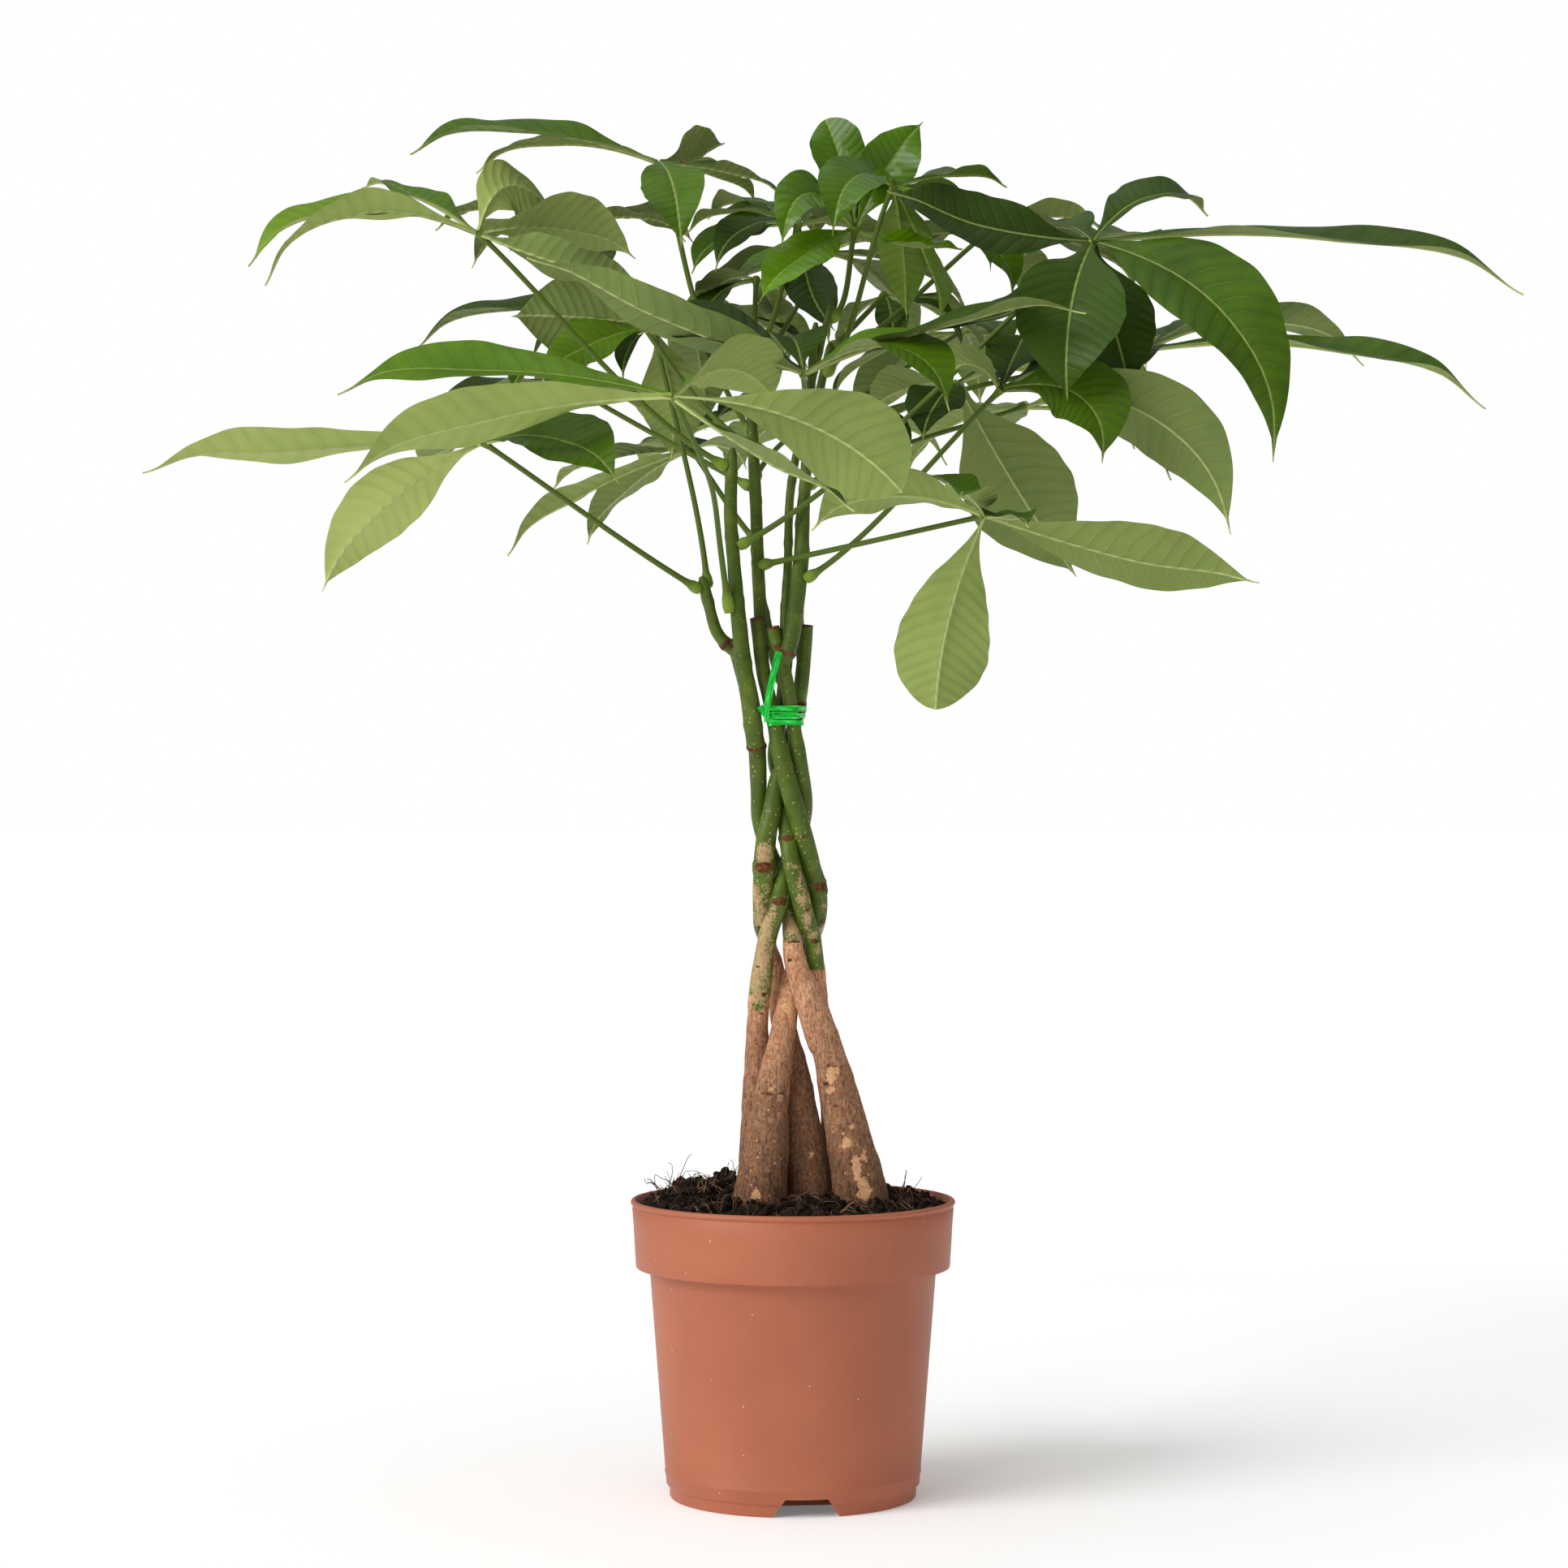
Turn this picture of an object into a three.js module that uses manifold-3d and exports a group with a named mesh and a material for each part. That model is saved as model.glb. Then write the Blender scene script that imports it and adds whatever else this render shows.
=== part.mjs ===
// A potted money tree: five young trees braided together, in a moulded plastic pot.
// Millimetres, +Z up. The origin is the middle of the pot's underside, where it rests.
// The front of the plant faces -Y.

import * as THREE from 'three';
import { mergeVertices } from 'three/addons/utils/BufferGeometryUtils.js';
import Module from 'manifold-3d';

const wasm = await Module();
wasm.setup();

// ---------------------------------------------------------------- driving sizes

const pot = {
  height: 155.5,
  rimRadius: 84.3,
  lipRadius: 85.1,
  lipHeight: 3,
  collarHeight: 35.5,
  collarFootRadius: 82.4,
  neckRadius: 75.2, // just under the collar
  footRadius: 66.4, // where the tapered body meets the foot
  footHeight: 7,
  footInset: 1.8,
  wall: 1.8,
  floor: 2.5,
  sides: 40,
};

const drain = {
  places: [-84, 36, 156], // degrees round the pot
  topWidth: 22,
  footWidth: 36,
  height: 9.5,
  innerEnd: 30, // the channel stops here, so the middle of the underside is flat
  roof: 2,
  holeRadius: 4,
  holePlace: 46,
};

const soil = {
  level: 150.8, // at the wall
  mound: 5, // higher in the middle
  lumps: 3.5,
  heap: 7, // at the left, behind
  sides: 20, // half the pot's, so that the soil's corners stay inside the pot's
  rings: 6,
};

const touchGap = 0.3; // between pieces that touch
const trunkSides = 10;
const shootSides = 6;
const petioleSides = 4;

const blade = {
  edge: 0.7, // thickness at the margin
  rootRib: 1.7, // thickness of the midrib at the hub
  tipRib: 0.9,
  rootWidth: 1.8,
  rootTaper: 0.75, // share of the root's width that the narrowest blade loses by the tip
  rootPlace: 1, // how far from the middle of the hub a leaflet starts
  widest: 0.55, // how far along the leaflet is widest
  fullness: 0.85, // below 1 makes the sides rounder
  bluntWidest: 0.68, // the same two for a blunt leaflet
  bluntFullness: 0.55,
  crest: 0.58, // how far along the leaflet the pull of its arch is
  fold: 14, // degrees that each half rises from the midrib
  archLean: 0.35, // how far the arch of the midrib leans outward
  wave: 2.2, // height of the wavy margin
  waves: 1.6, // along one leaflet
  wavePhase: 2.4, // from one leaflet to the next
};

const petiole = {
  radius: 1.35,
  footRadius: 1.1,
  pulvinusRadius: 2.5, // the swollen cushion by the shoot
  pulvinusLength: 7,
  upward: 0.5, // how steeply it leaves the shoot
  handle: 0.3, // how far the start and end directions carry, as a share of its length
  places: [0.36, 0.68], // stations between the cushion and the hub
  footGap: 0.45, // least distance between its cut foot and the shoot
};

const hubRadius = 2.6;
const degrees = Math.PI / 180;

// ---------------------------------------------------------------- solids and lofts

// A closed geometry as a solid that can be joined and cut.
function solidOf(geometry) {
  const bare = geometry.clone();
  bare.deleteAttribute('normal');
  bare.deleteAttribute('uv');
  const merged = mergeVertices(bare, 1e-4);
  const vertProperties = new Float32Array(merged.attributes.position.array);
  const triVerts = new Uint32Array(merged.index.array);
  return new wasm.Manifold(new wasm.Mesh({ numProp: 3, vertProperties, triVerts }));
}

function geometryOf(solid) {
  const mesh = solid.getMesh();
  const geometry = new THREE.BufferGeometry();
  geometry.setAttribute('position', new THREE.BufferAttribute(mesh.vertProperties, 3));
  geometry.setIndex(new THREE.BufferAttribute(mesh.triVerts, 1));
  geometry.computeVertexNormals();
  return geometry;
}

function sixTimesVolume(points, triangles) {
  const cross = new THREE.Vector3();
  return triangles.reduce((sum, [a, b, c]) => {
    cross.crossVectors(points[b], points[c]);
    return sum + cross.dot(points[a]);
  }, 0);
}

// Skins a stack of rings that have the same even number of points. Point i of a ring
// lies opposite point n-1-i, and both faces of a flat ring are split alike.
function loft(rings) {
  const n = rings[0].length;
  const points = rings.flat();
  const triangles = [];
  for (let k = 0; k + 1 < rings.length; k += 1) {
    for (let i = 0; i < n; i += 1) {
      const a = k * n + i;
      const b = k * n + ((i + 1) % n);
      const c = a + n;
      const d = b + n;
      if (i < n / 2) triangles.push([a, b, d], [a, d, c]);
      else triangles.push([a, b, c], [b, d, c]);
    }
  }
  const last = (rings.length - 1) * n;
  for (let i = 0; i < n / 2 - 1; i += 1) {
    const far = n - 1 - i;
    triangles.push([i, far, i + 1], [i + 1, far, far - 1]);
    triangles.push([last + i, last + i + 1, last + far]);
    triangles.push([last + i + 1, last + far - 1, last + far]);
  }
  if (sixTimesVolume(points, triangles) < 0) triangles.forEach((triangle) => triangle.reverse());
  const geometry = new THREE.BufferGeometry().setFromPoints(points);
  geometry.setIndex(triangles.flat());
  return geometry;
}

// A round bar along stations [{ at: Vector3, radius }], with its ends cut square.
function taperedBar(stations, sides, swell = 0) {
  const side = new THREE.Vector3(0, 1, 0);
  const rings = stations.map(({ at, radius }, index) => {
    const before = stations[Math.max(index - 1, 0)].at;
    const after = stations[Math.min(index + 1, stations.length - 1)].at;
    const along = after.clone().sub(before).normalize();
    side.addScaledVector(along, -side.dot(along)).normalize();
    const across = along.clone().cross(side);
    return Array.from({ length: sides }, (_, i) => {
      const angle = (2 * Math.PI * (i + 0.5)) / sides;
      return at.clone()
        .addScaledVector(side, (radius + swell) * Math.cos(angle))
        .addScaledVector(across, (radius + swell) * Math.sin(angle));
    });
  });
  return solidOf(loft(rings));
}

function joined(solids) {
  return solids.reduce((whole, solid) => whole.add(solid));
}

// ---------------------------------------------------------------- pot

function potOuterRadius(z) {
  const share = (z - pot.footHeight) / (pot.height - pot.collarHeight - pot.footHeight);
  return pot.footRadius + share * (pot.neckRadius - pot.footRadius);
}

function lathe(profile) {
  const points = profile.map(([radius, z]) => new THREE.Vector2(radius, z));
  return solidOf(new THREE.LatheGeometry(points, pot.sides).rotateX(Math.PI / 2));
}

// A trapezoid channel that runs outward from near the middle, at one place of the underside.
function drainChannel(place, thicker) {
  const halfFoot = drain.footWidth / 2 + thicker;
  const halfTop = drain.topWidth / 2 + thicker;
  const top = drain.height + thicker;
  const section = new THREE.Shape([
    new THREE.Vector2(-halfFoot, -1),
    new THREE.Vector2(halfFoot, -1),
    new THREE.Vector2(halfTop, top),
    new THREE.Vector2(-halfTop, top),
  ]);
  const start = drain.innerEnd - thicker;
  const reach = pot.neckRadius - start;
  return new THREE.ExtrudeGeometry(section, { depth: reach, bevelEnabled: false })
    .rotateX(Math.PI / 2)
    .translate(0, -start, 0)
    .rotateZ((place + 90) * degrees);
}

const collarFoot = pot.height - pot.collarHeight;
const step = 2.5; // height of the slope under the collar
const bodyTop = potOuterRadius(collarFoot);

function cavityProfile(gap) {
  const inside = pot.wall + gap;
  const floorTop = pot.floor + gap;
  return [
    [0, floorTop],
    [potOuterRadius(floorTop) - inside - 1.5, floorTop],
    [potOuterRadius(floorTop + 3) - inside, floorTop + 3],
    [bodyTop - inside, collarFoot + pot.wall],
    [pot.collarFootRadius - inside, collarFoot + pot.wall + step],
    [pot.rimRadius - inside, pot.height + 1],
    [0, pot.height + 1],
  ];
}

function potSolid() {
  const outside = lathe([
    [0, 0],
    [pot.footRadius - pot.footInset - 1, 0],
    [pot.footRadius - pot.footInset, 1],
    [pot.footRadius - pot.footInset, pot.footHeight - 1],
    [pot.footRadius, pot.footHeight],
    [bodyTop, collarFoot],
    [pot.collarFootRadius, collarFoot],
    [pot.rimRadius, pot.height - pot.lipHeight - 1],
    [pot.rimRadius - 0.6, pot.height - pot.lipHeight],
    [pot.lipRadius, pot.height - pot.lipHeight + 0.8],
    [pot.lipRadius, pot.height - 0.8],
    [pot.lipRadius - 0.8, pot.height],
    [0, pot.height],
  ]);
  const humps = joined(drain.places.map((place) => solidOf(drainChannel(place, drain.roof))));
  const channels = joined(drain.places.map((place) => solidOf(drainChannel(place, 0))));
  const holes = joined(drain.places.map((place) => {
    const bore = new THREE.CylinderGeometry(drain.holeRadius, drain.holeRadius, 40, 12);
    return solidOf(bore.rotateX(Math.PI / 2).translate(drain.holePlace, 0, 0).rotateZ(place * degrees));
  }));
  const cavity = lathe(cavityProfile(0)).subtract(humps);
  return outside.subtract(cavity).subtract(channels).subtract(holes);
}

// ---------------------------------------------------------------- trees

// Each tree's stem runs from in the soil to its cut top: [x, y, z, radius].
// Its green shoots start sunk in the stem and carry the leaves.
const trees = [
  {
    name: 'tree_front_left',
    stem: [
      [-22, -24, 112, 14.5], [-16.6, -22, 158, 13.4], [-11.9, -19, 205, 9.6], [-4.9, -13.8, 245, 7],
      [-0.8, -4, 268, 5.3], [4, 3.5, 282, 4.9], [10, 4, 294, 4.4], [13.4, -0.5, 306, 4.1],
      [12.8, -1, 320, 4.1], [9.8, -5.5, 330, 4.3], [4.5, -9.5, 349, 4.5], [-0.8, -11, 367, 4.5],
      [-5.3, -10.2, 384, 4.2], [-8.5, -8.8, 399, 4], [-11, -6.5, 412, 3.8], [-15.5, -2, 432, 3.7],
      [-19, 0.5, 460, 3.7],
    ],
    shoots: {
      centreBack: [
        [-16, 0, 438, 2.6], [-16.5, 4.5, 452, 3.4], [-18, 7, 480, 3.4], [-20, 8, 533, 3.1],
        [-22, 9, 575, 2.6], [-21, 10, 610, 1.9],
      ],
    },
  },
  {
    name: 'tree_middle',
    stem: [
      [9.6, -8, 112, 13.8], [8.6, -7.5, 158, 13.2], [5.6, -1.5, 208, 8.8], [3.2, 2.5, 236, 6.2],
      [-3, 7.6, 262, 4.7], [-9.8, 4.4, 278, 4.3], [-15.4, -2.2, 297, 4.4], [-15.8, -5.5, 307, 4.7],
      [-15.3, -8.3, 321, 5], [-14.3, -10, 342, 4.7], [-11.3, -8.5, 357, 4.3], [-8.6, -2.5, 373, 4],
      [-3.8, 1.5, 386, 3.9], [-0.5, 4, 399, 3.8], [3, 5, 415, 3.8], [5.5, 5.5, 436, 3.7],
      [7.2, 6, 456.5, 3.5],
    ],
    shoots: {
      rightBack: [
        [5, 6, 428, 2.6], [5.2, 13, 438, 3.2], [4, 19, 450, 3.2], [2.6, 21.5, 462, 3.2],
        [3.5, 23, 494, 3], [5.5, 25, 525, 2.9], [12, 27, 570, 2.5], [20, 28, 608, 1.9],
      ],
    },
  },
  {
    name: 'tree_front_right',
    stem: [
      [41, -22, 112, 15], [35.4, -20, 158, 14.2], [21.3, -17, 226.6, 8.6], [11.5, -15.5, 254, 7.9],
      [1.5, -15, 280, 6.2], [-0.2, -12.5, 291, 5], [-1.4, -6.5, 300, 3.8], [-3, -1.5, 311, 3.7],
      [-7.5, 4.5, 326, 3.7], [-14, 6, 341, 3.7], [-17.5, 3.5, 356, 3.8], [-18, 0.5, 368, 3.8],
      [-18.4, -2, 384, 3.9], [-19.5, -2.5, 398, 3.9], [-22, -0.5, 412, 3.8], [-26.5, 2.5, 430, 3.5],
      [-32, 4.5, 449, 3.3],
    ],
    shoots: {
      leftMain: [
        [-18.5, -4, 388, 3.6], [-20, -8, 397, 4.8], [-22.4, -8.8, 416, 4.9], [-25.6, -8.8, 434, 4.4],
        [-28.5, -8, 460, 4.1], [-30.7, -6, 486, 3.6], [-32.6, -4, 512, 3.6], [-32.4, -3, 532, 3.3],
        [-31.6, -2, 549, 2.3],
      ],
      leftSmall: [
        [-31, 4.4, 442, 2.6], [-36, 4, 447.5, 3.1], [-40.6, 2.5, 454.1, 3.1], [-43.6, 1.5, 464.8, 3],
        [-46, 0.5, 474.4, 3], [-48, 0, 482, 2.5],
      ],
    },
  },
  {
    name: 'tree_left_behind',
    stem: [
      [-22.5, 2.5, 112, 9], [-21.5, 1, 158, 7.8], [-19.8, -2.6, 205, 6.5], [-18.5, -5, 235, 5.5],
      [-18.3, -8, 252, 5.1], [-16.6, -11, 271, 5], [-13.2, -13.2, 293, 4.6], [-8, -13.6, 309, 3.9],
      [-4.9, -6, 325, 3.7], [-1.2, 0.5, 337, 3.7], [3.4, 2.2, 346, 3.8], [7, 0.6, 356, 3.9],
      [8.2, -1.6, 367, 3.9], [5, -3.6, 384, 3.8], [1, -5, 399, 3.8], [-1, -6, 412, 3.7],
      [-3.8, -6.5, 429, 3.6], [-10.6, -4.5, 455, 3.4],
    ],
    shoots: {
      rightMain: [
        [-4.5, -6.6, 436, 3.2], [-1.5, -8, 446, 4.2], [0.9, -8, 460, 4.3], [4, -7, 488, 4.2],
        [5.4, -6.4, 502, 3.2], [6.3, -5, 530, 3], [9, -3, 575, 2.5], [12, -2, 615, 1.9],
      ],
      topYoung: [
        [-5.4, -5.5, 438, 2], [-4.4, -2.5, 450, 2.5], [-4.2, 0, 462, 2.5], [-2.6, 2.5, 490, 2.3],
        [-1, 3.5, 529, 2.2], [8, 3, 575, 2], [20, 0, 625, 1.7],
      ],
    },
  },
  {
    name: 'tree_right_behind',
    stem: [
      [27, 12, 112, 10], [25, 10, 158, 8.8], [20.6, 7.2, 205, 6.6], [16.6, 3.4, 235, 5.7],
      [14, -0.6, 256, 5.2], [11.6, -5.6, 278, 4.8], [10.2, -7, 291, 4.5], [7.8, -10.2, 299, 4.3],
      [5.8, -12, 306, 4.3], [2.1, -13.6, 317, 4], [-1.6, -13.2, 331, 3.6], [-3, -10, 342, 3.5],
      [-4, -3, 356, 3.5], [-4.2, 3, 366, 3.5], [-7, 7.5, 376, 3.6], [-9, 9.6, 386, 3.7],
      [-8, 11, 399, 3.7], [-6, 12, 414, 3.6], [-4, 13.5, 434, 3.5], [-3, 15, 452, 3.4],
    ],
    shoots: {
      back: [
        [-5, 13, 424, 2.6], [-8.5, 18.6, 436, 3.2], [-14, 22.5, 456, 3.2], [-18.3, 25, 480, 3.1],
        [-19.6, 29, 510, 2.9], [-21.8, 34, 565, 2.5], [-21, 38, 605, 1.9],
      ],
    },
  },
];

function routeStations(route) {
  return route.map(([x, y, z, radius]) => ({ at: new THREE.Vector3(x, y, z), radius }));
}

function treeSolid({ stem, shoots }) {
  const stemSolid = taperedBar(routeStations(stem), trunkSides);
  const shootSolids = Object.values(shoots).map((route) => taperedBar(routeStations(route), shootSides));
  return joined([stemSolid, ...shootSolids]);
}

// Where a route passes a height, its radius there and its direction.
function routeAt(route, z) {
  const stations = routeStations(route);
  const upper = stations.findIndex(({ at }) => at.z >= z);
  const [low, high] = [stations[upper - 1], stations[upper]];
  const share = (z - low.at.z) / (high.at.z - low.at.z);
  return {
    at: low.at.clone().lerp(high.at, share),
    radius: low.radius + share * (high.radius - low.radius),
    along: high.at.clone().sub(low.at).normalize(),
  };
}

// ---------------------------------------------------------------- soil

function soilHeight(x, y) {
  const fromMiddle = Math.hypot(x, y) / pot.rimRadius;
  const uneven = Math.sin(x * 0.16 + 1) * Math.cos(y * 0.19) + 0.6 * Math.sin(x * 0.31 - y * 0.27 + 2);
  const lumps = soil.lumps * uneven * Math.min(1, 4 * (1 - fromMiddle));
  const mound = soil.mound * Math.max(0, 1 - fromMiddle ** 3);
  const heap = soil.heap * Math.exp(-(((x + 45) / 26) ** 2) - ((y - 22) / 30) ** 2);
  return soil.level + mound + lumps + heap;
}

function soilSolid() {
  const profile = cavityProfile(touchGap).slice(0, 5);
  const insideTop = (z) => {
    const share = (z - collarFoot) / pot.collarHeight;
    return pot.collarFootRadius + share * (pot.rimRadius - pot.collarFootRadius) - pot.wall - touchGap;
  };
  const circle = (radius, height) => Array.from({ length: soil.sides }, (_, i) => {
    const angle = (2 * Math.PI * i) / soil.sides;
    const x = radius * Math.cos(angle);
    const y = radius * Math.sin(angle);
    return new THREE.Vector3(x, y, height ?? soilHeight(x, y));
  });
  const wallRings = profile.slice(1).map(([radius, z]) => circle(radius, z));
  const edge = insideTop(soil.level - 4) - 0.4;
  const topRings = Array.from({ length: soil.rings }, (_, i) => circle(edge * (1 - i / soil.rings)));
  const bottom = circle(2, profile[0][1]);
  const body = solidOf(loft([bottom, ...wallRings, circle(edge, soil.level - 5), ...topRings]));
  const humps = joined(drain.places.map((place) => solidOf(drainChannel(place, drain.roof + touchGap))));
  const holes = joined(trees.map(({ stem }) => {
    const stations = routeStations(stem.slice(0, 4));
    const [foot, next] = stations;
    foot.at.addScaledVector(next.at.clone().sub(foot.at).normalize(), -touchGap);
    return taperedBar(stations, trunkSides, touchGap);
  }));
  return body.subtract(humps).subtract(holes);
}

// ---------------------------------------------------------------- tie

const tie = {
  foot: 402.4,
  width: 3.3,
  thickness: 0.7,
  turns: 2.6,
  rise: 3.7, // height that one turn climbs
  stepsPerTurn: 14,
  loose: 1, // clear of the stems, which the band's flat spans cut across
  tail: [[-11.6, -13.1, 404.5], [-14, -14.4, 413], [-11, -14.6, 428], [-7.7, -13.4, 441]],
  tied: ['tree_front_left', 'tree_middle', 'tree_left_behind', 'tree_right_behind'],
};

// The band follows the outside of the tied stems: in each direction it passes the stem
// that reaches furthest that way.
function bandPoint(turn) {
  const z = tie.foot + tie.width / 2 + turn * tie.rise;
  const angle = (2 * Math.PI * turn) - 2.6;
  const outward = new THREE.Vector3(Math.cos(angle), Math.sin(angle), 0);
  const stems = trees.filter(({ name }) => tie.tied.includes(name)).map(({ stem }) => routeAt(stem, z));
  const furthest = stems.reduce((best, stem) => {
    const reach = stem.at.dot(outward) + stem.radius;
    return reach > best.reach ? { reach, stem } : best;
  }, { reach: -Infinity });
  const distance = furthest.stem.radius + tie.loose + tie.thickness / 2;
  return { at: furthest.stem.at.clone().addScaledVector(outward, distance).setZ(z), outward };
}

function tieSolid() {
  const count = Math.round(tie.turns * tie.stepsPerTurn);
  const rings = Array.from({ length: count + 1 }, (_, i) => {
    const { at, outward } = bandPoint(i / tie.stepsPerTurn);
    return bandSection(at, outward, new THREE.Vector3(0, 0, 1));
  });
  const band = solidOf(loft(rings));
  const tailPoints = tie.tail.map(([x, y, z]) => new THREE.Vector3(x, y, z));
  const tailCurve = new THREE.CatmullRomCurve3(tailPoints, false, 'catmullrom');
  const front = new THREE.Vector3(0, -1, 0);
  const tailRings = Array.from({ length: 7 }, (_, i) => {
    const along = tailCurve.getTangent(i / 6);
    const across = along.clone().cross(front).normalize();
    return bandSection(tailCurve.getPoint(i / 6), front, across);
  });
  return band.add(solidOf(loft(tailRings)));
}

function bandSection(at, outward, across) {
  const corner = (out, up) => at.clone()
    .addScaledVector(outward, (out * tie.thickness) / 2)
    .addScaledVector(across, (up * tie.width) / 2);
  return [corner(1, -1), corner(1, 1), corner(-1, 1), corner(-1, -1)];
}

// ---------------------------------------------------------------- leaves

// Each leaflet is [x, y, z, width, rise, show]: its tip from the hub, its greatest width,
// how high its midrib arches over the straight line, and how far its upper side is turned
// to the front in degrees (0 faces up, 90 faces the front, -90 shows its underside there).
// leaving is the direction in degrees in which a leaf's stalk starts, upward how steeply it does,
// handle how long it keeps on, and sway how far it bends sideways, where they differ from most.
// blunt lists the leaflets that end broad.
const leaves = [
  {
    name: 'leaf_front_left', shoot: 'leftMain', height: 441, hub: [-59, -130, 563],
    upward: 3, leaving: 200, handle: 0.5, sway: -12, blunt: [2, 3],
    leaflets: [
      [-160, -14, -43, 42, 12, -34], [-168, 26, 4, 42, 12, 30], [48, 74, 8, 46, 14, -50],
      [112, -12, -48, 56, 13, -70], [88, -58, -60, 26, -2, -14],
    ],
  },
  {
    name: 'leaf_far_left', shoot: 'leftSmall', height: 473, hub: [-158, -60, 547],
    leaflets: [
      [-170, -20, -17, 36, 4, -24], [-84, 18, -75, 37, 10, -58], [72, -66, -26, 44, 12, 42],
      [18, 88, 14, 36, 14, 0], [-40, 80, -10, 28, 6, 0],
    ],
  },
  {
    name: 'leaf_crown_young', shoot: 'topYoung', height: 616, hub: [33, 10, 666],
    young: true, blunt: [0],
    leaflets: [
      [-16, 15, 60, 30, 3, 84], [36, 10, 58, 31, 3, 84], [-39, -35, -16, 28, 24, 56],
      [-50, -55, -45, 31, 5, 54], [56, -10, -12, 26, -3, 20], [-5, 38, 46, 28, 4, 70],
    ],
  },
  {
    name: 'leaf_crown_right', shoot: 'rightBack', height: 590, hub: [53, -8, 686],
    sway: 6, young: true,
    leaflets: [
      [-33, -52, -34, 34, 18, 52], [60, 18, 2, 22, 6, 6], [62, -8, -60, 42, 12, 26],
      [27, 30, -65, 26, 8, 30], [8, 52, -50, 28, 10, 0], [40, 60, -6, 28, 4, 0], [-20, 60, 4, 28, 4, 0],
    ],
  },
  {
    name: 'leaf_front_high', shoot: 'rightMain', height: 560, hub: [5, -70, 581],
    leaflets: [
      [-140, -6, 55, 33, -2, -52], [-85, 34, 20, 40, 10, 46], [73, -30, -22, 48, 24, 18],
      [141, -30, 27, 32, 9, 12], [-10, 84, 16, 36, 14, 0],
    ],
  },
  {
    name: 'leaf_upper_left', shoot: 'leftMain', height: 538, hub: [-163, -30, 658],
    blunt: [3],
    leaflets: [
      [-116, -20, -20, 36, 21, 26], [-102, -60, -35, 32, 24, -18], [-69, 80, 36, 24, 6, 2],
      [34, 30, 18, 38, 17, -95], [80, 38, -8, 40, 9, -50], [84, -20, -27, 30, -3, -40],
    ],
  },
  {
    name: 'leaf_top_left', shoot: 'centreBack', height: 585, hub: [-71, 10, 701],
    leaflets: [
      [-129, -20, 1, 34, 14, 12], [-101, 60, 4, 28, 8, 4], [34, 40, 17, 34, -3, -54],
      [14, -66, -54, 35, 12, 60], [66, -12, -20, 22, 5, 4], [52, 44, -14, 26, 5, 0],
    ],
  },
  {
    name: 'leaf_top_right', shoot: 'leftMain', height: 496, hub: [154, -40, 652],
    leaflets: [
      [216, -30, -31, 36, 16, 16], [86, -54, -118, 56, 29, 44], [-16, -41, -86, 58, 16, 66],
      [-86, -44, -50, 32, -12, 26], [18, -14, -79, 44, 0, 46], [66, 58, 22, 36, 16, 24],
      [44, 92, 4, 28, 8, 8], [-30, 80, 4, 40, 12, 10], [-106, -14, 24, 40, -6, 58],
    ],
  },
  {
    name: 'leaf_front_right', shoot: 'rightMain', height: 478, hub: [106, -60, 574],
    leaflets: [
      [50, -17, -39, 48, 20, 50], [117, 2, -74, 44, 29, -58], [-25, 62, 11, 34, 8, -36],
      [18, 64, 34, 32, 4, 24], [84, 56, 6, 36, 16, 0],
    ],
  },
  {
    name: 'leaf_low_right', shoot: 'centreBack', height: 488, hub: [95, -110, 506],
    upward: 0.1, blunt: [0],
    leaflets: [
      [-24, 8, -96, 50, 5, -74], [136, 0, -33, 39, -4, -52], [-86, 18, -6, 42, 14, -28],
      [-16, -66, 4, 26, 4, 10], [-30, 62, 22, 28, 6, -10], [18, -56, -9, 26, 2, 20],
    ],
  },
  {
    name: 'leaf_right_hanging', shoot: 'rightMain', height: 545, hub: [87, 16, 585],
    leaflets: [
      [66, 40, -100, 60, -3, -70], [-46, 44, -14, 34, 8, -20], [-20, -44, -34, 32, 6, 20],
      [70, 78, -8, 38, 16, 0],
    ],
  },
  {
    name: 'leaf_far_right', shoot: 'rightBack', height: 556, hub: [189, 50, 607],
    leaflets: [
      [184, 0, -32, 38, 17, 16], [125, 44, -4, 30, 20, -26], [94, 82, 22, 30, 13, -10],
      [-14, -54, -22, 34, 8, 30], [10, 94, 0, 36, 14, 0],
    ],
  },
  {
    name: 'leaf_crown_left', shoot: 'centreBack', height: 600, hub: [3, 50, 674],
    leaflets: [
      [-57, -20, -29, 30, 10, 30], [-44, -52, -32, 24, 12, 36], [-61, 14, -3, 28, 10, 10],
      [-50, 60, 12, 30, 10, 6], [10, 70, 0, 32, 14, 0], [50, 56, -14, 30, 12, 0],
      [19, -36, -61, 28, -9, 46],
    ],
  },
  {
    name: 'leaf_left_backlit', shoot: 'leftSmall', height: 466, hub: [-76, 80, 623],
    upward: 4,
    leaflets: [
      [-135, 50, -7, 38, 17, 22], [-77, -10, 4, 46, 2, -78], [-60, -22, -33, 34, 6, 48],
      [10, -4, -74, 36, 5, -60], [45, 50, 6, 32, 8, 10],
    ],
  },
  {
    name: 'leaf_left_low_behind', shoot: 'centreBack', height: 500, hub: [-56, 90, 557],
    leaflets: [
      [-100, -8, -59, 34, 8, -8], [-59, 40, -50, 32, 8, -8], [-30, 84, -6, 32, 8, 0],
      [30, 82, -4, 32, 8, 0], [-80, 60, -18, 32, 8, 8],
    ],
  },
];

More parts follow.
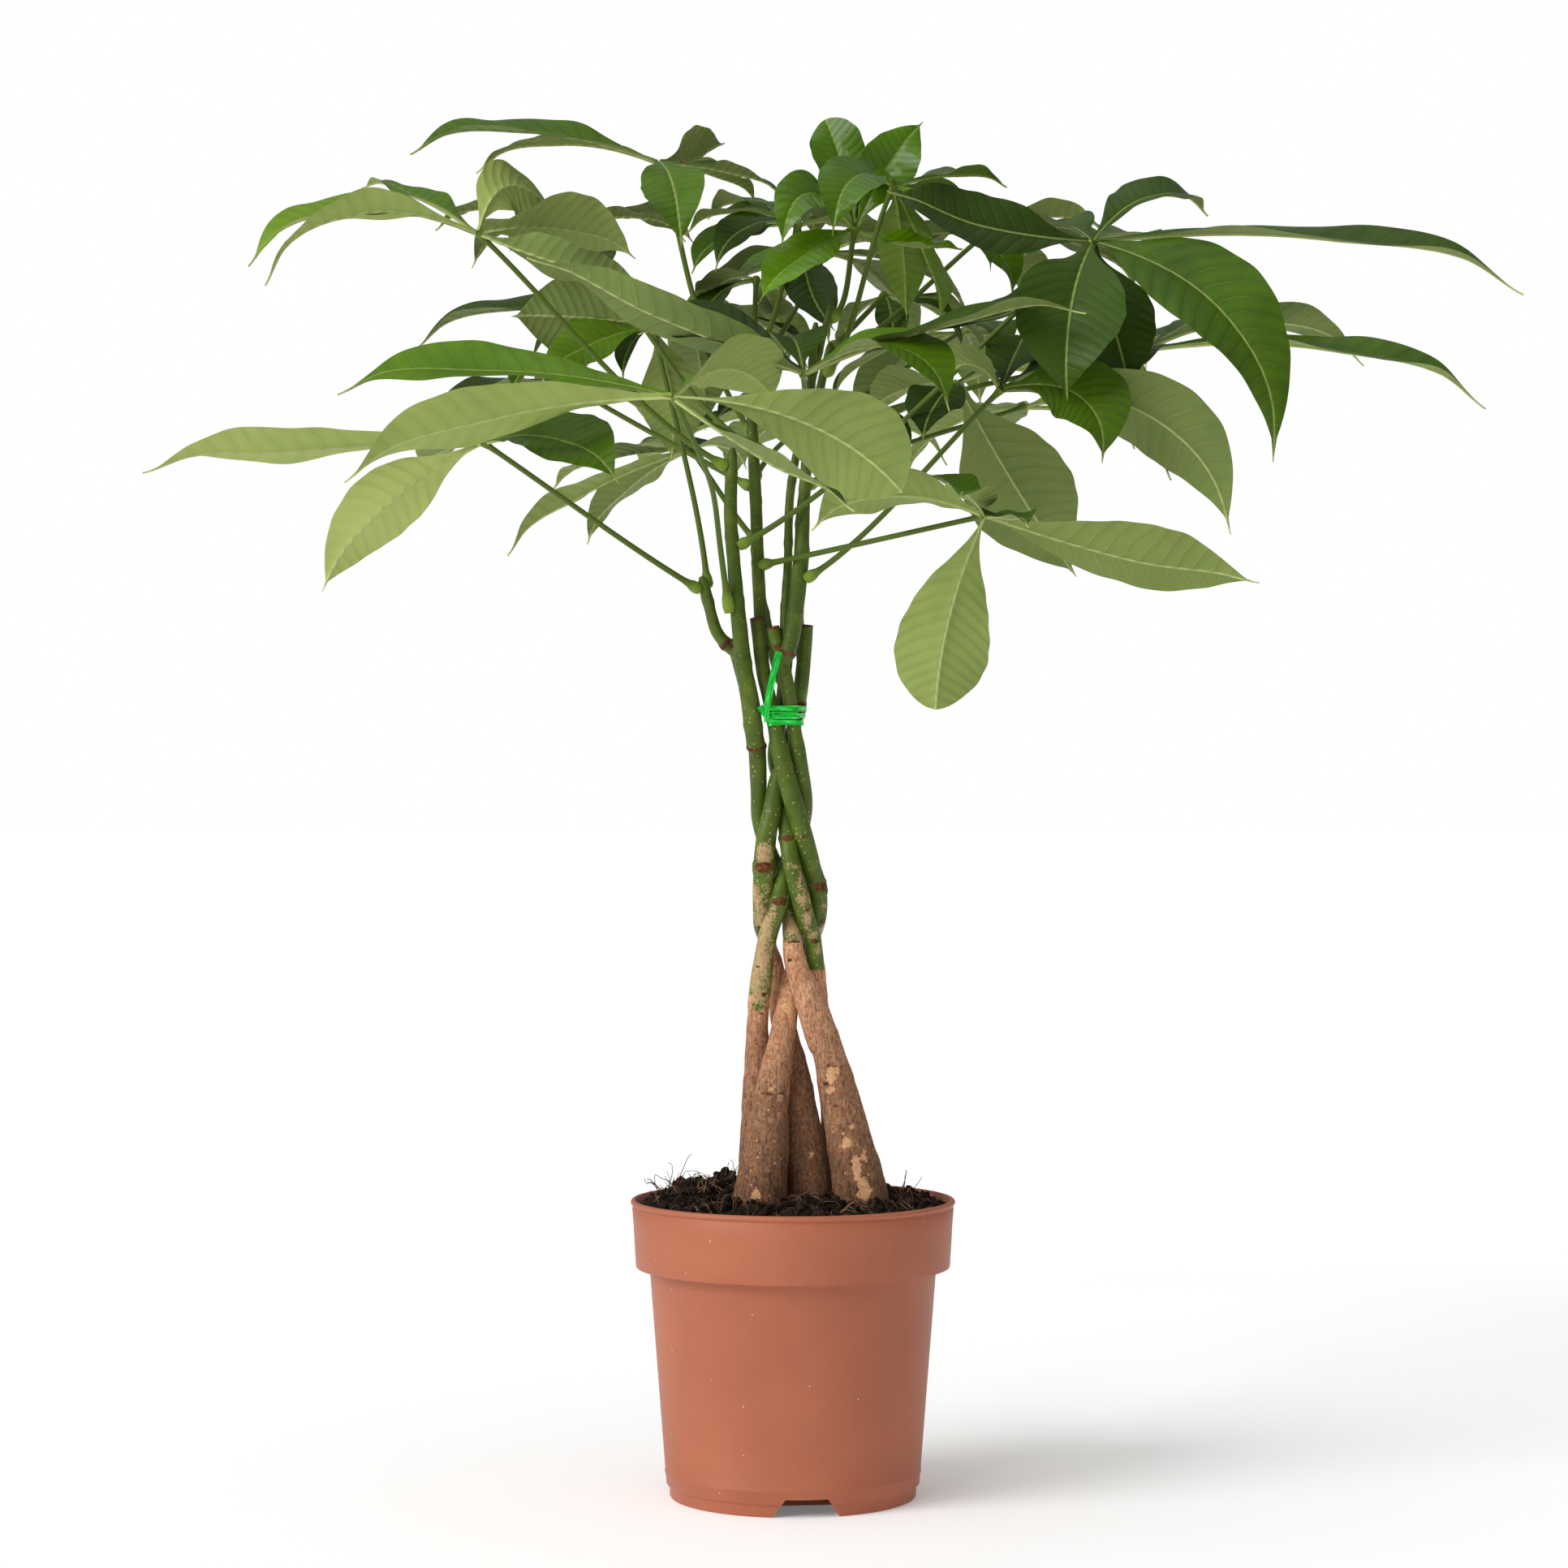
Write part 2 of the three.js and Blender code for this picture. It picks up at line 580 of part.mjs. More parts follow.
// The leaves that fill the back and the middle. Each spread is the direction in degrees, the
// number of leaflets, the length of the longest and how far they droop in degrees.
const fillLeaves = [
  { name: 'leaf_back_1', shoot: 'back', height: 560, hub: [-60, 150, 640], spread: [110, 6, 112, 26] },
  {
    name: 'leaf_back_2', shoot: 'back', height: 530, hub: [-128, 130, 598], sway: -6,
    spread: [120, 6, 100, 20],
  },
  { name: 'leaf_back_3', shoot: 'back', height: 590, hub: [20, 170, 676], spread: [80, 6, 108, 22] },
  { name: 'leaf_back_4', shoot: 'rightBack', height: 560, hub: [95, 150, 628], spread: [55, 6, 118, 26] },
  { name: 'leaf_back_5', shoot: 'rightBack', height: 530, hub: [130, 140, 585], spread: [50, 5, 104, 18] },
  { name: 'leaf_back_6', shoot: 'back', height: 535, hub: [10, 175, 582], spread: [95, 6, 104, 14] },
  { name: 'leaf_back_7', shoot: 'centreBack', height: 550, hub: [-120, 100, 680], spread: [110, 6, 92, 10] },
  { name: 'leaf_back_8', shoot: 'rightBack', height: 596, hub: [105, 90, 674], spread: [40, 6, 100, 16] },
  { name: 'leaf_inner_1', shoot: 'back', height: 600, hub: [-20, 90, 650], spread: [120, 5, 70, 34] },
  { name: 'leaf_inner_2', shoot: 'rightBack', height: 604, hub: [50, 80, 640], spread: [20, 5, 66, 34] },
];

const fan = {
  spacing: 52, // degrees between leaflets
  shorter: 0.11, // each step from the middle leaflet
  width: 0.36, // shares of a leaflet's length
  rise: 0.15,
  unevenDroop: 9, // degrees
  unevenShow: 14,
};

// Leaflets of a spreading leaf: the middle one is the longest, the outer ones reach round.
function spreadLeaflets([heading, count, longest, droop]) {
  const middle = (count - 1) / 2;
  return Array.from({ length: count }, (_, i) => {
    const fromMiddle = i - middle;
    const angle = (heading + fromMiddle * fan.spacing) * degrees;
    const reach = longest * (1 - fan.shorter * Math.abs(fromMiddle));
    const fall = (droop + fan.unevenDroop * Math.sin(2.1 * i + heading)) * degrees;
    const flat = reach * Math.cos(fall);
    const show = fan.unevenShow * Math.sin(1.7 * i + heading);
    const tip = [flat * Math.cos(angle), flat * Math.sin(angle), -reach * Math.sin(fall)];
    return [...tip, reach * fan.width, reach * fan.rise, show];
  });
}

// Width of a leaflet as a share of its greatest width: wedge at the root, drawn-out tip.
function outline(share, blunt) {
  const widest = blunt ? blade.bluntWidest : blade.widest;
  const fullness = blunt ? blade.bluntFullness : blade.fullness;
  const bent = share ** (Math.log(0.5) / Math.log(widest));
  return Math.sin(Math.PI * bent) ** fullness * (1 - 0.25 * share ** 6);
}

// Where a leaflet of a given length has its cross-sections.
function stationShares(length) {
  if (length > 150) return [0, 0.15, 0.36, 0.6, 0.83, 1];
  if (length > 100) return [0, 0.2, 0.48, 0.78, 1];
  return [0, 0.28, 0.68, 1];
}

function perpendicular(vector, direction) {
  return vector.addScaledVector(direction, -vector.dot(direction)).normalize();
}

// One leaflet: a thin folded and waved blade along an arched midrib.
function bladeSolid(hub, [x, y, z, width, rise, show], number, blunt, swell = 0) {
  const tip = new THREE.Vector3(x, y, z);
  const chord = tip.clone().normalize();
  const outward = tip.clone().setZ(0).normalize();
  const up = perpendicular(outward.multiplyScalar(blade.archLean).setZ(1), chord);
  const middle = tip.clone().multiplyScalar(blade.crest).addScaledVector(up, 2 * rise);
  const root = middle.clone().setLength(blade.rootPlace);
  const midrib = new THREE.QuadraticBezierCurve3(root, middle, tip);
  const turned = new THREE.Vector3(0, -Math.sin(show * degrees), Math.cos(show * degrees));
  const facing = perpendicular(turned, chord);
  const rings = stationShares(tip.length()).map((share) => {
    const along = midrib.getTangent(share);
    const turn = new THREE.Quaternion().setFromUnitVectors(chord, along);
    const normal = facing.clone().applyQuaternion(turn);
    const side = normal.clone().cross(along).normalize();
    const narrowest = blade.rootWidth * (1 - blade.rootTaper * share);
    const half = Math.max(width * outline(share, blunt), narrowest) / 2 + swell;
    const rib = blade.rootRib + share * (blade.tipRib - blade.rootRib);
    const wave = blade.wave * Math.min(1, half / 10);
    const at = midrib.getPoint(share).add(hub);
    const edge = (handed) => {
      const phase = 2 * Math.PI * blade.waves * share + blade.wavePhase * number + handed;
      const lift = half * Math.sin(blade.fold * degrees) + wave * Math.sin(phase);
      return at.clone()
        .addScaledVector(side, handed * half * Math.cos(blade.fold * degrees))
        .addScaledVector(normal, lift);
    };
    const shift = (point, amount) => point.clone().addScaledVector(normal, amount);
    const thin = blade.edge / 2 + swell;
    const [left, right] = [edge(-1), edge(1)];
    return [
      shift(left, thin), shift(at, thin), shift(right, thin),
      shift(right, -thin), shift(at, thin - rib - 2 * swell), shift(left, -thin),
    ];
  });
  return solidOf(loft(rings));
}

const allShoots = Object.assign({}, ...trees.map(({ shoots }) => shoots));

// A leaf stalk, from its swollen foot by the shoot to the knob that the leaflets share.
function petioleStations(leaf, sway, inset) {
  const seat = routeAt(allShoots[leaf.shoot], leaf.height);
  const hub = new THREE.Vector3(...leaf.hub);
  const toHub = hub.clone().sub(seat.at);
  const away = toHub.clone().setZ(0).normalize();
  const turned = THREE.MathUtils.degToRad(leaf.leaving ?? 0);
  const given = new THREE.Vector3(Math.cos(turned), Math.sin(turned), 0);
  const leaving = leaf.leaving === undefined ? away.clone() : given;
  const start = leaving.setZ(leaf.upward ?? petiole.upward).normalize();
  const lean = Math.abs(start.dot(seat.along));
  const clear = (seat.radius + petiole.footGap + petiole.footRadius * lean) / Math.sqrt(1 - lean ** 2);
  const foot = seat.at.clone().addScaledVector(start, clear - inset);
  const length = foot.distanceTo(hub);
  const sideways = away.clone().cross(new THREE.Vector3(0, 0, 1));
  const handle = (leaf.handle ?? petiole.handle) * length;
  const first = foot.clone().addScaledVector(start, handle).addScaledVector(sideways, sway);
  const second = hub.clone().addScaledVector(toHub.normalize(), -handle).addScaledVector(sideways, sway);
  const curve = new THREE.CubicBezierCurve3(foot, first, second, hub);
  const swellEnd = petiole.pulvinusLength / length;
  const intoHub = curve.getTangent(1);
  const nearHub = (past) => hub.clone().addScaledVector(intoHub, past * hubRadius);
  return [
    { at: curve.getPoint(0), radius: petiole.footRadius },
    { at: curve.getPoint(swellEnd * 0.4), radius: petiole.pulvinusRadius },
    ...[swellEnd, ...petiole.places].map((share) => ({ at: curve.getPoint(share), radius: petiole.radius })),
    { at: nearHub(-2), radius: petiole.radius },
    { at: nearHub(-0.8), radius: hubRadius },
    { at: nearHub(0.7), radius: hubRadius },
  ];
}

// ---------------------------------------------------------------- assembly

const bark = new THREE.MeshStandardMaterial({ color: 0x8e6e56, roughness: 0.85, metalness: 0 });
const terracotta = new THREE.MeshStandardMaterial({ color: 0xb9714f, roughness: 0.5, metalness: 0 });
const earth = new THREE.MeshStandardMaterial({ color: 0x2a1c14, roughness: 1, metalness: 0 });
const foil = new THREE.MeshStandardMaterial({ color: 0x12c832, roughness: 0.3, metalness: 0.5 });
const leafGreen = new THREE.MeshStandardMaterial({ color: 0x3c6b2a, roughness: 0.45, metalness: 0 });
const youngGreen = new THREE.MeshStandardMaterial({ color: 0x4c8a14, roughness: 0.3, metalness: 0 });

const plant = new THREE.Group();
const placed = [];

function place(name, solid, material) {
  const mesh = new THREE.Mesh(geometryOf(solid), material);
  mesh.name = name;
  plant.add(mesh);
  placed.push({ solid, box: new THREE.Box3().setFromBufferAttribute(mesh.geometry.attributes.position) });
}

function crosses(solid) {
  const { min, max } = solid.boundingBox();
  const box = new THREE.Box3(new THREE.Vector3(...min), new THREE.Vector3(...max));
  return placed.some((other) => other.box.intersectsBox(box) && !other.solid.intersect(solid).isEmpty());
}

// The first candidate that is clear of what is already placed.
function firstClear(candidates, build, label) {
  const found = candidates.find((candidate) => !crosses(build(candidate)));
  if (found === undefined) throw new Error(`no clear place for ${label}`);
  return found;
}

// A leaflet's tip may move in depth and then in height. A petiole may bend sideways, and its
// foot goes in as far as it stays clear of the shoot.
const depths = [0, 7, -7, 14, -14, 21, -21, 28, -28, 36, -36, 45, -45];
const tipShifts = [0, -14, 14].flatMap((height) => depths.map((depth) => [depth, height]));
const sways = [0, 6, -6, 12, -12, 20, -20, 30, -30];
const insets = [2.4, 2.1, 1.8, 1.5, 1.2, 0.9, 0.6, 0.3, 0];
const bladeRoom = 0.35; // clear of everything else, on every face
const stalkRoom = 0.05;

function leafSolid(leaf) {
  const hub = new THREE.Vector3(...leaf.hub);
  const leaning = leaf.sway ?? 0;
  const stalk = (sway, inset, swell) =>
    taperedBar(petioleStations(leaf, leaning + sway, inset), petioleSides, swell);
  const clearSway = firstClear(sways, (sway) => stalk(sway, 0, stalkRoom), `the stalk of ${leaf.name}`);
  const closer = (inset) => stalk(clearSway, inset + touchGap, stalkRoom);
  const clearInset = firstClear([...insets, -touchGap], closer, `the foot of ${leaf.name}`);
  const blades = leaf.leaflets.map(([x, y, z, ...rest], number) => {
    const moved = ([depth, height]) => [x, y + depth, z + height, ...rest];
    const blunt = leaf.blunt?.includes(number);
    const roomy = (shift) => bladeSolid(hub, moved(shift), number, blunt, bladeRoom);
    const clearShift = firstClear(tipShifts, roomy, `leaflet ${number} of ${leaf.name}`);
    return bladeSolid(hub, moved(clearShift), number, blunt);
  });
  return joined([stalk(clearSway, clearInset), ...blades]);
}

place('pot', potSolid(), terracotta);
place('soil', soilSolid(), earth);
trees.forEach((tree) => place(tree.name, treeSolid(tree), bark));
place('twist_tie', tieSolid(), foil);
leaves.forEach((leaf) => place(leaf.name, leafSolid(leaf), leaf.young ? youngGreen : leafGreen));
fillLeaves.forEach((leaf) => {
  place(leaf.name, leafSolid({ ...leaf, leaflets: spreadLeaflets(leaf.spread) }), leafGreen);
});

export default plant;
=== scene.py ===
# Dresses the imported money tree: pot, soil, braided trunks, tie and palmate leaves, in metres.
import math
import random

import bpy
import bmesh
from mathutils import Matrix, Quaternion, Vector, noise
from mathutils.bvhtree import BVHTree
from mathutils.kdtree import KDTree


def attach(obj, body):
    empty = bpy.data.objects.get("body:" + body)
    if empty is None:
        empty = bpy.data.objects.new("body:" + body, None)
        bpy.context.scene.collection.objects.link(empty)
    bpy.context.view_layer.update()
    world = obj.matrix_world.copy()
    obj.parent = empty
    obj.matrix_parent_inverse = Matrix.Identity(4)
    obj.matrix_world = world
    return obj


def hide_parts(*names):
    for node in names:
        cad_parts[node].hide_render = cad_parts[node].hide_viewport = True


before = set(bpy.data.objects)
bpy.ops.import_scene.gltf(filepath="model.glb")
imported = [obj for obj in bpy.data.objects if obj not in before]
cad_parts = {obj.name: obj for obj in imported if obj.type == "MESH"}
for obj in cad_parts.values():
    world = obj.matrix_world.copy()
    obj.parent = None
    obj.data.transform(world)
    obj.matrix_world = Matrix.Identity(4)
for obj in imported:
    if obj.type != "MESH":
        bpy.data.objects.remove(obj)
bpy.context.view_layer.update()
mm = 0.001  # shapes below are drawn in millimetres
print("frame loaded:", len(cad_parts), "nodes")


def linear(hexColour):  # sRGB hex to a linear colour with alpha
    parts = [int(hexColour[i:i + 2], 16) / 255 for i in (1, 3, 5)]
    return tuple(p / 12.92 if p <= 0.04045 else ((p + 0.055) / 1.055) ** 2.4 for p in parts) + (1.0,)


def levelDirection(angle):
    return Vector((math.cos(angle), math.sin(angle), 0))


def smooth(low, high, value):  # 0 below low, 1 above high, eased between
    share = min(1.0, max(0.0, (value - low) / (high - low)))
    return share * share * (3 - 2 * share)


# Adds a shader node. A setting that is a node or a socket is linked, and any other is set.
def addNode(tree, kind, settings={}):
    node = tree.nodes.new("ShaderNode" + kind)
    for name, value in settings.items():
        if isinstance(value, bpy.types.Node):
            value = value.outputs[0]
        if isinstance(value, bpy.types.NodeSocket):
            tree.links.new(value, node.inputs[name])
        elif name == "stops":  # the colours of a ramp
            ramp = node.color_ramp.elements
            while len(ramp) < len(value):
                ramp.new(0.5)
            for stop, (place, colour) in zip(ramp, value):
                stop.position = place
                stop.color = linear(colour)
        elif isinstance(name, str) and hasattr(node, name):
            setattr(node, name, value)
        else:
            node.inputs[name].default_value = linear(value) if isinstance(value, str) else value
    return node


def newMaterial(name):
    material = bpy.data.materials.new(name)
    material.use_nodes = True
    material.diffuse_color = (0.3, 0.4, 0.2, 1)
    material.node_tree.nodes.clear()
    return material, material.node_tree


def surfaced(material, surface):  # the finished material, with its surface's numbers and nodes
    tree = material.node_tree
    addNode(tree, "OutputMaterial", {"Surface": addNode(tree, "BsdfPrincipled", surface)})
    return material


# A finish whose colour, and relief if it has one, come from one noise.
def grainyMaterial(name, surface, grainForm, stops, relief=None):
    material, tree = newMaterial(name)
    place = addNode(tree, "TexCoord").outputs["Object"]
    grain = addNode(tree, "TexNoise", {"Vector": place, **grainForm})
    nodes = {"Base Color": addNode(tree, "ValToRGB", {"Fac": grain, "stops": stops})}
    if relief:
        nodes["Normal"] = addNode(tree, "Bump", {"Height": grain, **relief})
    return surfaced(material, {**surface, **nodes})


def addObject(name, data):
    thing = bpy.data.objects.new(name, data)
    bpy.context.scene.collection.objects.link(thing)
    return thing


def outwardMesh(work, mesh):  # puts a bmesh into a mesh, with its faces turned outward
    bmesh.ops.recalc_face_normals(work, faces=work.faces)
    work.to_mesh(mesh)
    work.free()
    return mesh


def newShape():
    return {"points": [], "marks": [], "faces": [], "slots": [], "edges": set()}


# Skins rings of points that all have the same length. slotOf gives the material of each strip
# round the ring, and creases are the places round the ring where the surface has an edge.
def addSkin(shape, rings, marks, slotOf=lambda place: 0, capSlots=(0, 0), creases=()):
    start = len(shape["points"])
    around = len(rings[0])
    for ring, ringMarks in zip(rings, marks):
        shape["points"].extend(ring)
        shape["marks"].extend(ringMarks)
    for i in range(len(rings) - 1):
        for j in range(around):
            a = start + i * around + j
            b = start + i * around + (j + 1) % around
            shape["faces"].append((a, b, b + around, a + around))
            shape["slots"].append(slotOf(j))
    for i in range(len(rings)):
        shape["edges"].update(start + i * around + j for j in creases)
    for ring, ringMarks, slot in ((rings[0], marks[0], capSlots[0]), (rings[-1], marks[-1], capSlots[1])):
        first = len(shape["points"])  # a cap has points of its own, so that its rim stays crisp
        middle = sum(ring, Vector()) / around
        shape["points"].extend(list(ring) + [middle])
        shape["marks"].extend(list(ringMarks) + [ringMarks[0]])
        for j in range(around):
            shape["faces"].append((first + j, first + (j + 1) % around, first + around))
            shape["slots"].append(slot)


def newPiece(name, shape, materials, node):
    mesh = bpy.data.meshes.new(name)
    mesh.from_pydata([point * mm for point in shape["points"]], [], shape["faces"])
    for material in materials:
        mesh.materials.append(material)
    mesh.polygons.foreach_set("material_index", shape["slots"])
    mesh.polygons.foreach_set("use_smooth", [True] * len(mesh.polygons))
    marks = mesh.attributes.new("marks", "FLOAT_VECTOR", "POINT")
    marks.data.foreach_set("vector", [value for mark in shape["marks"] for value in mark[:3]])
    if len(shape["marks"][0]) > 3:
        margin = mesh.attributes.new("margin", "FLOAT", "POINT")
        margin.data.foreach_set("value", [mark[3] for mark in shape["marks"]])
    if shape["edges"]:
        sharp = mesh.attributes.new("sharp_edge", "BOOLEAN", "EDGE")
        creased = shape["edges"]
        sharp.data.foreach_set("value", [creased.issuperset(edge.vertices) for edge in mesh.edges])
    work = bmesh.new()
    work.from_mesh(mesh)
    piece = addObject(name, outwardMesh(work, mesh))
    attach(piece, "root")
    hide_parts(node)


# A smooth line through a route's points [x, y, z, radius], about every step millimetres.
def smoothRoute(route, step):
    points = [Vector(p) for p in route]
    ends = [2 * points[0] - points[1]] + points + [2 * points[-1] - points[-2]]
    line = []
    for before, a, b, after in zip(ends, ends[1:], ends[2:], ends[3:]):
        count = max(2, round((b - a).length / step))
        for i in range(count):
            t = i / count
            line.append(0.5 * (2 * a + (b - before) * t + (2 * before - 5 * a + 4 * b - after) * t ** 2
                               + (3 * a - before - 3 * b + after) * t ** 3))
    return line + [points[-1]]


# Rings round a line of 4-vectors (place and radius). reliefAt(point, share of the line) adds
# millimetres to each point's radius.
def tubeRings(line, sides, reliefAt=lambda point, share: 0):
    side = Vector((0, 1, 0))
    rings = []
    for i, station in enumerate(line):
        at, radius = station.xyz, station.w
        along = (line[min(i + 1, len(line) - 1)].xyz - line[max(i - 1, 0)].xyz).normalized()
        side = (side - along * side.dot(along)).normalized()
        across = along.cross(side)
        ring = []
        for j in range(sides):
            angle = 2 * math.pi * j / sides
            outward = side * math.cos(angle) + across * math.sin(angle)
            relief = reliefAt(at + outward * radius, i / (len(line) - 1))
            ring.append(at + outward * (radius + relief))
        rings.append(ring)
    return rings


# Pot: injection-moulded polypropylene in a terracotta shade
potForm = {
    "height": 155.5, "rim": 84.3, "lip": 85.1, "lipHeight": 3, "collar": 35.5, "collarFoot": 82.4,
    "neck": 75.2, "foot": 66.4, "footHeight": 7, "footInset": 1.8, "wall": 1.8, "floor": 2.5,
    "partingLine": 13.6,  # height of the mould's faint raised line
    "sides": 160,
}
gates = {"places": (-84, 36, 156), "top": 22, "foot": 36, "height": 9.5, "inner": 30,
         "hole": 4, "holePlace": 46}


def bodyRadius(z):
    share = (z - potForm["footHeight"]) / (potForm["height"] - potForm["collar"] - potForm["footHeight"])
    return potForm["foot"] + share * (potForm["neck"] - potForm["foot"])


def lathed(name, profile, sides):  # a closed body turned round the Z axis
    work = bmesh.new()
    rings = []
    for radius, z in profile:
        if radius < 0.01:
            rings.append([work.verts.new((0, 0, z * mm))] * sides)
            continue
        ring = []
        for j in range(sides):
            angle = 2 * math.pi * j / sides
            x, y = radius * mm * math.cos(angle), radius * mm * math.sin(angle)
            ring.append(work.verts.new((x, y, z * mm)))
        rings.append(ring)
    for low, high in zip(rings, rings[1:]):
        for j in range(sides):
            k = (j + 1) % sides
            work.faces.new(list(dict.fromkeys([low[j], low[k], high[k], high[j]])))
    return addObject(name, outwardMesh(work, bpy.data.meshes.new(name)))


def gateBody(place):  # the trapezoid drainage channel at one place of the foot
    halfFoot, halfTop, top = gates["foot"] / 2, gates["top"] / 2, gates["height"]
    section = [(-halfFoot, -1), (halfFoot, -1), (halfTop, top), (-halfTop, top)]
    turn = Matrix.Rotation(math.radians(place), 3, "Z")
    work = bmesh.new()
    faces = [[work.verts.new(turn @ Vector((reach, x, z)) * mm) for x, z in section]
             for reach in (gates["inner"], potForm["neck"])]
    for end in faces:
        work.faces.new(end)
    for j in range(4):
        k = (j + 1) % 4
        work.faces.new((faces[0][j], faces[0][k], faces[1][k], faces[1][j]))
    return addObject("gate", outwardMesh(work, bpy.data.meshes.new("gate")))


def cut(body, cutters):  # takes the cutters out of a body and deletes them
    for cutter in cutters:
        modifier = body.modifiers.new("cut", "BOOLEAN")
        modifier.operation = "DIFFERENCE"
        modifier.solver = "EXACT"
        modifier.object = cutter
    bpy.context.view_layer.update()
    result = bpy.data.meshes.new_from_object(body.evaluated_get(bpy.context.evaluated_depsgraph_get()))
    body.modifiers.clear()
    body.data = result
    for cutter in cutters:
        bpy.data.objects.remove(cutter)


def terracottaPlastic():
    # satin moulded plastic: even warm clay colour, broad soft highlights, pale dust caught on it
    material, tree = newMaterial("terracottaPolypropylene")
    place = addNode(tree, "TexCoord").outputs["Object"]
    cloud = addNode(tree, "TexNoise", {"Vector": place, "Scale": 14.0, "Detail": 4.0})  # 70 mm blotches
    plain = addNode(tree, "ValToRGB", {"Fac": cloud, "stops": [(0.3, "#A55D41"), (0.7, "#B2684A")]})
    speck = addNode(tree, "TexVoronoi", {"Vector": place, "Scale": 240.0})  # dust in some 4 mm cells
    few = addNode(tree, "TexNoise", {"Vector": place, "Scale": 60.0, "Detail": 2.0})
    size = addNode(tree, "Math", {"operation": "MULTIPLY", 0: few, 1: 0.17})
    dust = addNode(tree, "Math", {"operation": "LESS_THAN", 0: speck, 1: size})
    cell = addNode(tree, "SeparateColor", {"Color": speck.outputs["Color"]})
    thin = addNode(tree, "Math", {"operation": "GREATER_THAN", 0: cell, 1: 0.86})
    for factor in (thin, 0.75):
        dust = addNode(tree, "Math", {"operation": "MULTIPLY", 0: dust, 1: factor})
    dusted = addNode(tree, "MixRGB", {"Fac": dust, "Color1": plain, "Color2": "#E4CDBD"})
    rough = addNode(tree, "MapRange", {"Value": cloud, "To Min": 0.42, "To Max": 0.56})
    texture = addNode(tree, "TexNoise", {"Vector": place, "Scale": 700.0, "Detail": 2.0})  # 1.4 mm
    bump = addNode(tree, "Bump", {"Height": texture, "Strength": 0.25, "Distance": 0.0002})
    return surfaced(material, {
        "Base Color": dusted, "Roughness": rough, "Normal": bump, "IOR": 1.49, "Specular IOR Level": 0.35})


def makePot():
    f = potForm
    height, wall, step = f["height"], f["wall"], f["footHeight"]
    collarFoot, neckTop, line = height - f["collar"], height - f["lipHeight"], f["partingLine"]
    below, above = bodyRadius(line - 0.9), bodyRadius(line + 0.9)
    raised, lip, innerLip = bodyRadius(line) + 0.35, 1.5, f["rim"] - wall
    foot = f["foot"] - f["footInset"]
    outside = [(0, 0), (foot - 1.2, 0), (foot - 0.4, 0.3), (foot, 1.0), (foot, step - 1.6),
               (foot + 0.5, step - 0.7), (f["foot"] - 0.4, step - 0.2), (f["foot"], step + 0.4),
               (below, line - 0.9), (raised, line - 0.4), (raised, line + 0.3), (above, line + 0.9)]
    outside += [(bodyRadius(z), z) for z in (40, 65, 90, collarFoot - 2.4)]
    outside += [(f["neck"] + 0.6, collarFoot - 0.9), (f["neck"] + 2.2, collarFoot - 0.1)]
    outside += [(f["collarFoot"] + wider, collarFoot + higher)
                for wider, higher in ((-0.9, 0), (-0.2, 0.3), (0, 1), (0.6, 11), (1.2, 22))]
    outside += [(f["rim"] - inset, neckTop - lower) for inset, lower in ((0, 1.6), (0.45, 0.9), (0.5, 0.2))]
    outside += [(f["lip"] - lip + lip * math.cos(a), height - lip + lip * math.sin(a))
                for a in [math.radians(d) for d in (-60, -30, 0, 30, 60, 90)]]
    inside = [(innerLip + 0.5, height), (innerLip, height - 0.5),
              (f["collarFoot"] - wall, collarFoot + wall + 2.5),
              (bodyRadius(collarFoot) - wall, collarFoot + wall),
              (bodyRadius(f["floor"] + 3) - wall, f["floor"] + 3),
              (bodyRadius(f["floor"]) - wall - 1.5, f["floor"]), (0, f["floor"])]
    body = lathed("terracotta_pot", outside + inside, f["sides"])
    bores = []
    for place in gates["places"]:
        bore = lathed("bore", [(0, -5), (gates["hole"], -5), (gates["hole"], 30), (0, 30)], 24)
        outward = levelDirection(math.radians(place))
        bore.data.transform(Matrix.Translation(outward * gates["holePlace"] * mm))
        bores.append(bore)
    cut(body, [gateBody(place) for place in gates["places"]] + bores)
    mesh = body.data
    mesh.materials.append(terracottaPlastic())
    mesh.polygons.foreach_set("use_smooth", [True] * len(mesh.polygons))
    mesh.polygons.foreach_set("material_index", [0] * len(mesh.polygons))
    mesh.set_sharp_from_angle(angle=math.radians(50))
    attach(body, "root")
    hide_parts("pot")


makePot()
print("pot made")

